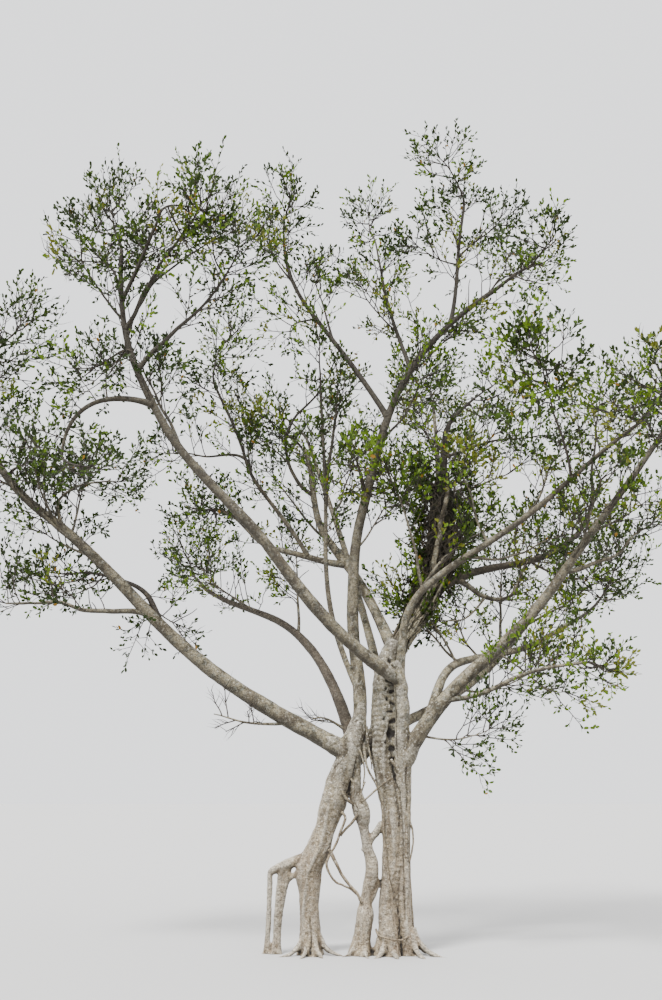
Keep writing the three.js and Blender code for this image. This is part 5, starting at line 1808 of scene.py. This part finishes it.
def tangle_place(t, turn, reach):
    """A place round the tangled bough at fraction t of it."""
    path = PATHS[TANGLE["on"]]
    at = TANGLE["start"] + (TANGLE["end"] - TANGLE["start"]) * t
    centre = np.array([point_on(path, x) for x in np.clip(at, 0, 1)])
    return centre + np.stack([np.cos(turn) * reach, np.sin(turn) * reach, 0 * turn], axis=1)


def tangle_fullness(t):
    """How full the tangle is along it."""
    return np.interp(t, *TANGLE_FULLNESS)


def add_tangle_leaves(foliage, settings):
    """Sprays of leaves that stand out of the tangle, mostly in its upper part."""
    random = foliage.random
    count = TANGLE_SPRAYS
    t = 1.1 * random.random(count) ** 0.6
    turn = random.uniform(0, 2 * math.pi, count)
    in_span = (t > FRONT_SPAN[0]) & (t < FRONT_SPAN[1])
    open_front = (np.abs(turn - FRONT) < FRONT_HALF_WIDTH) & in_span
    turn = np.where(open_front, turn + TURNED_ASIDE, turn)
    roots = tangle_place(t, turn, TANGLE["radius"] * np.maximum(0.45, tangle_fullness(t)) * 0.7)
    slope = random.uniform(*TANGLE_SPRAY_SLOPES, count)
    ways = unit(np.stack([np.cos(turn), np.sin(turn), slope], axis=1))
    lengths = random.uniform(*TANGLE_SPRAY_SIZES, count) * (0.65 + 0.35 * np.clip(t, 0, 1))
    kinds = random.choice([0, 1, 2], count, p=TANGLE_SHADES)
    add_sprays(foliage, roots, ways, lengths, kinds, settings, TANGLE_LEAF_SCALE)


def tangle_core():
    """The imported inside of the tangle, as a lumpy tube that thins to its ends."""
    t = np.linspace(*CORE_SPAN, CORE_POINTS)
    cell, height = CORE_LUMPS

    def lumpy(turn, rings):
        lumps = cell_noise(rings.reshape(-1, 3), cell, SEEDS["tangle_core"])
        return 1 + height * lumps.reshape(turn.shape)

    radii = TANGLE["radius"] * tangle_fullness(t) * np.interp(t, *CORE_SHARE)
    return sweep(tangle_place(t, 0 * t, 0 * t), radii, CORE_SIDES, lumpy)


def hanging_root(random):
    """A root that hangs down round the tangle, sways in and out, and thins to its end."""
    start = random.random()
    span = random.uniform(*HANGING_SPANS)
    fewest, more = HANGING_POINTS
    count = int(fewest + more * span)
    foot = random.uniform(*HANGING_FEET)
    t = np.clip(start - np.linspace(0, span, count), foot, HANGING_TOP)
    turn = random.uniform(0, 2 * math.pi) + np.cumsum(random.normal(0, HANGING_TURN, count))
    turn = turn + random.normal(0, HANGING_TWIST) * np.linspace(0, 1, count)
    share, sway = HANGING_SWAY
    reach = random.uniform(*HANGING_REACH) + share * np.cumsum(random.normal(0, sway, count))
    reach = TANGLE["radius"] * tangle_fullness(t) * reach
    reach = np.clip(reach, HANGING_LEAST_REACH, TANGLE["radius"] * 1.05)
    line = tangle_place(t, turn, reach)
    line = line + random.normal(0, HANGING_ROUGH, line.shape)
    thick = random.choice(HANGING_RADII, p=HANGING_SHARES)
    return sweep(line, np.linspace(thick, thick * HANGING_THINS_TO, count), TWIG_SIDES)


def clasping_roots(random):
    """Living pale roots: one down the tangle's front, and a bundle that clasps the bough below it."""
    t = np.linspace(*FRONT_ROOT_SPAN, FRONT_ROOT_POINTS)
    front = tangle_place(t, -1.6 + 0.15 * np.sin(9 * t), 0.92 * TANGLE["radius"] * tangle_fullness(t))
    front = crooked(front, 0.02, 0.12, SEEDS["front_root"])
    roots = [sweep(front, np.linspace(*FRONT_ROOT_RADII, FRONT_ROOT_POINTS), FRONT_ROOT_SIDES)]
    limb = next(limb for limb in LIMBS if limb["name"] == TANGLE["on"])
    count = CLASPING_POINTS
    for k in range(CLASPING_ROOTS):
        top = random.uniform(*CLASPING_TOPS)
        t = np.linspace(top, random.uniform(*CLASPING_FEET), count)
        at = TANGLE["start"] + (TANGLE["end"] - TANGLE["start"]) * t
        turn = random.uniform(0, 2 * math.pi) + random.normal(0, 0.9) * np.linspace(0, 1, count)
        loose = np.interp(t, [-0.2, 0, 0.5], [0.0, 0.06, 0.15]) * random.uniform(0.3, 1.2)
        line = tangle_place(t, turn, limb_radius(limb, at) + loose)
        line = crooked(line, 0.015, 0.1, SEEDS["clasping_roots"] + k)
        thick = random.choice(CLASPING_RADII)
        roots.append(sweep(line, np.linspace(thick, CLASPING_THINS_TO * thick, count), CLASPING_SIDES))
    return roots


class FigTangleSettings(bpy.types.PropertyGroup):
    strands: IntProperty(name="Strands", description="Hanging roots in the tangle", default=260, min=10)
    fibre: FloatVectorProperty(
        name="Fibre", description="Hanging roots that are still sound", subtype="COLOR", size=4,
        default=linear(0x36322A))
    # The dark core's colours: painted shadow inside the tangle, with lighter crumbs
    litter: FloatVectorProperty(
        name="Litter", description="Packed litter inside the tangle", subtype="COLOR", size=4,
        default=linear(0x17150D))
    litter_light: FloatVectorProperty(
        name="Light litter", description="Crumbs of newer litter", subtype="COLOR", size=4,
        default=linear(0x2C2A18))


class FIG_OT_tangle(bpy.types.Operator):
    """Wrap one bough in hanging roots round a dark core of painted shadow"""

    bl_idname = "fig.tangle"
    bl_label = "Root tangle"

    def execute(self, context):
        settings = context.scene.fig_tangle
        random = np.random.default_rng(SEEDS["tangle"])
        # The tangle's dark core is painted shadow
        litter = tangle_shadow(settings.litter, settings.litter_light)
        dress(make_object("tangle_core", *tangle_core(), [litter]), "root_tangle", TANGLE["name"])
        hanging = joined(hanging_root(random) for _ in range(settings.strands))
        fibre = root_fibre(settings.fibre, context.scene.fig_bark.streak)
        dress(make_object("tangle_roots", *hanging, [fibre]), "root_tangle")
        pale = bpy.data.materials[PALE_BARK]
        made = make_object("tangle_clasping_roots", *joined(clasping_roots(random)), [pale])
        dress(made, "root_tangle")
        return {"FINISHED"}


# The stage

FLOOR_HALF = 160.0
SUNS = (
    dict(name="key", energy=4.8, angle=14, turn=(38, 0, -32)),
    dict(name="fill", energy=0.3, angle=60, turn=(60, 0, 60)),
)


class FigStageSettings(bpy.types.PropertyGroup):
    lens: FloatProperty(
        name="Lens", description="Focal length on a 36 mm frame", default=37.08, unit="CAMERA")
    pitch: FloatProperty(
        name="Pitch", description="How far the camera looks up", default=math.radians(15.9),
        subtype="ANGLE")
    eye: FloatVectorProperty(
        name="Eye", description="Where the camera stands", default=(-0.61, -11.5, 1.6),
        subtype="TRANSLATION")
    floor: FloatVectorProperty(
        name="Floor", description="Colour of the floor", subtype="COLOR", size=4,
        default=linear(0xCBCAC8))
    sky: FloatVectorProperty(
        name="Backdrop", description="Colour of the light all round", subtype="COLOR", size=4,
        default=linear(0xE9EAEC))
    sky_strength: FloatProperty(
        name="Backdrop strength", description="How bright the light all round is", default=2.2, min=0)


class FIG_OT_stage(bpy.types.Operator):
    """Set up the floor, the soft light and the camera"""

    bl_idname = "fig.stage"
    bl_label = "Stage"

    def execute(self, context):
        settings = context.scene.fig_stage
        corners = FLOOR_HALF * np.array([(-1, -1, 0), (1, -1, 0), (1, 1, 0), (-1, 1, 0)])
        paint = painted_floor(settings.floor)
        floor = make_object("floor", corners, np.array([(0, 1, 2), (0, 2, 3)]), [paint])
        world = bpy.data.worlds.new("soft surround")
        world.use_nodes = True
        backdrop = world.node_tree.nodes["Background"]
        backdrop.inputs["Color"].default_value = settings.sky
        backdrop.inputs["Strength"].default_value = settings.sky_strength
        context.scene.world = world
        for sun in SUNS:
            light = bpy.data.lights.new(sun["name"], "SUN")
            light.energy = sun["energy"]
            light.angle = math.radians(sun["angle"])
            lamp = bpy.data.objects.new(sun["name"], light)
            lamp.rotation_euler = [math.radians(turn) for turn in sun["turn"]]
            context.scene.collection.objects.link(lamp)
        camera_data = bpy.data.cameras.new("camera")
        camera_data.lens = settings.lens
        camera = bpy.data.objects.new("camera", camera_data)
        camera.location = settings.eye
        camera.rotation_euler = (math.pi / 2 + settings.pitch, 0, 0)
        context.scene.collection.objects.link(camera)
        context.scene.camera = camera
        return {"FINISHED"}


class FIG_PT_panel(bpy.types.Panel):
    """Lists the steps that build the tree"""

    bl_idname = "FIG_PT_panel"
    bl_label = "Fig Tree"
    bl_space_type = "VIEW_3D"
    bl_region_type = "UI"
    bl_category = "Fig Tree"

    def draw(self, context):
        for name, title, _, steps in GROUPS:
            box = self.layout.box()
            box.label(text=title)
            settings = getattr(context.scene, name)
            for prop in settings.bl_rna.properties:
                if prop.identifier not in ("rna_type", "name"):
                    box.prop(settings, prop.identifier)
            for step in steps:
                box.operator(step)


# Each group of settings: its name on the scene, its title, its class and the steps that read it

GROUPS = (
    ("fig_stage", "Stage", FigStageSettings, ("fig.stage",)),
    ("fig_bark", "Bark", FigBarkSettings, ()),
    ("fig_dark_bark", "Dark bark", FigBarkSettings, ()),
    ("fig_trunk", "Trunk", FigTrunkSettings, ("fig.trunk", "fig.rootlets")),
    ("fig_boughs", "Boughs", FigBoughSettings, ("fig.boughs",)),
    ("fig_tangle", "Tangle", FigTangleSettings, ("fig.tangle",)),
    ("fig_foliage", "Foliage", FigFoliageSettings, ("fig.foliage",)),
)
CLASSES = (
    FigStageSettings, FigBarkSettings, FigTrunkSettings, FigBoughSettings, FigTangleSettings,
    FigFoliageSettings, FIG_OT_stage, FIG_OT_trunk, FIG_OT_rootlets, FIG_OT_boughs, FIG_OT_tangle,
    FIG_OT_foliage, FIG_PT_panel,
)


def register():
    """Registers the classes and puts the settings on the scene."""
    for kind in CLASSES:
        bpy.utils.register_class(kind)
    for name, _, kind, _ in GROUPS:
        setattr(bpy.types.Scene, name, PointerProperty(type=kind))


def unregister():
    """Takes the settings and the classes away again."""
    for name, *_ in GROUPS:
        delattr(bpy.types.Scene, name)
    for kind in reversed(CLASSES):
        bpy.utils.unregister_class(kind)


def main():
    """Builds the stage and the tree."""
    register()
    dark = bpy.context.scene.fig_dark_bark
    for part, colour in DARK_BARK.items():
        setattr(dark, part, linear(colour))
    bpy.ops.fig.stage()
    bpy.ops.fig.trunk()
    bpy.ops.fig.rootlets()
    bpy.ops.fig.boughs()
    bpy.ops.fig.tangle()
    bpy.ops.fig.foliage()


if __name__ == "__main__":
    main()
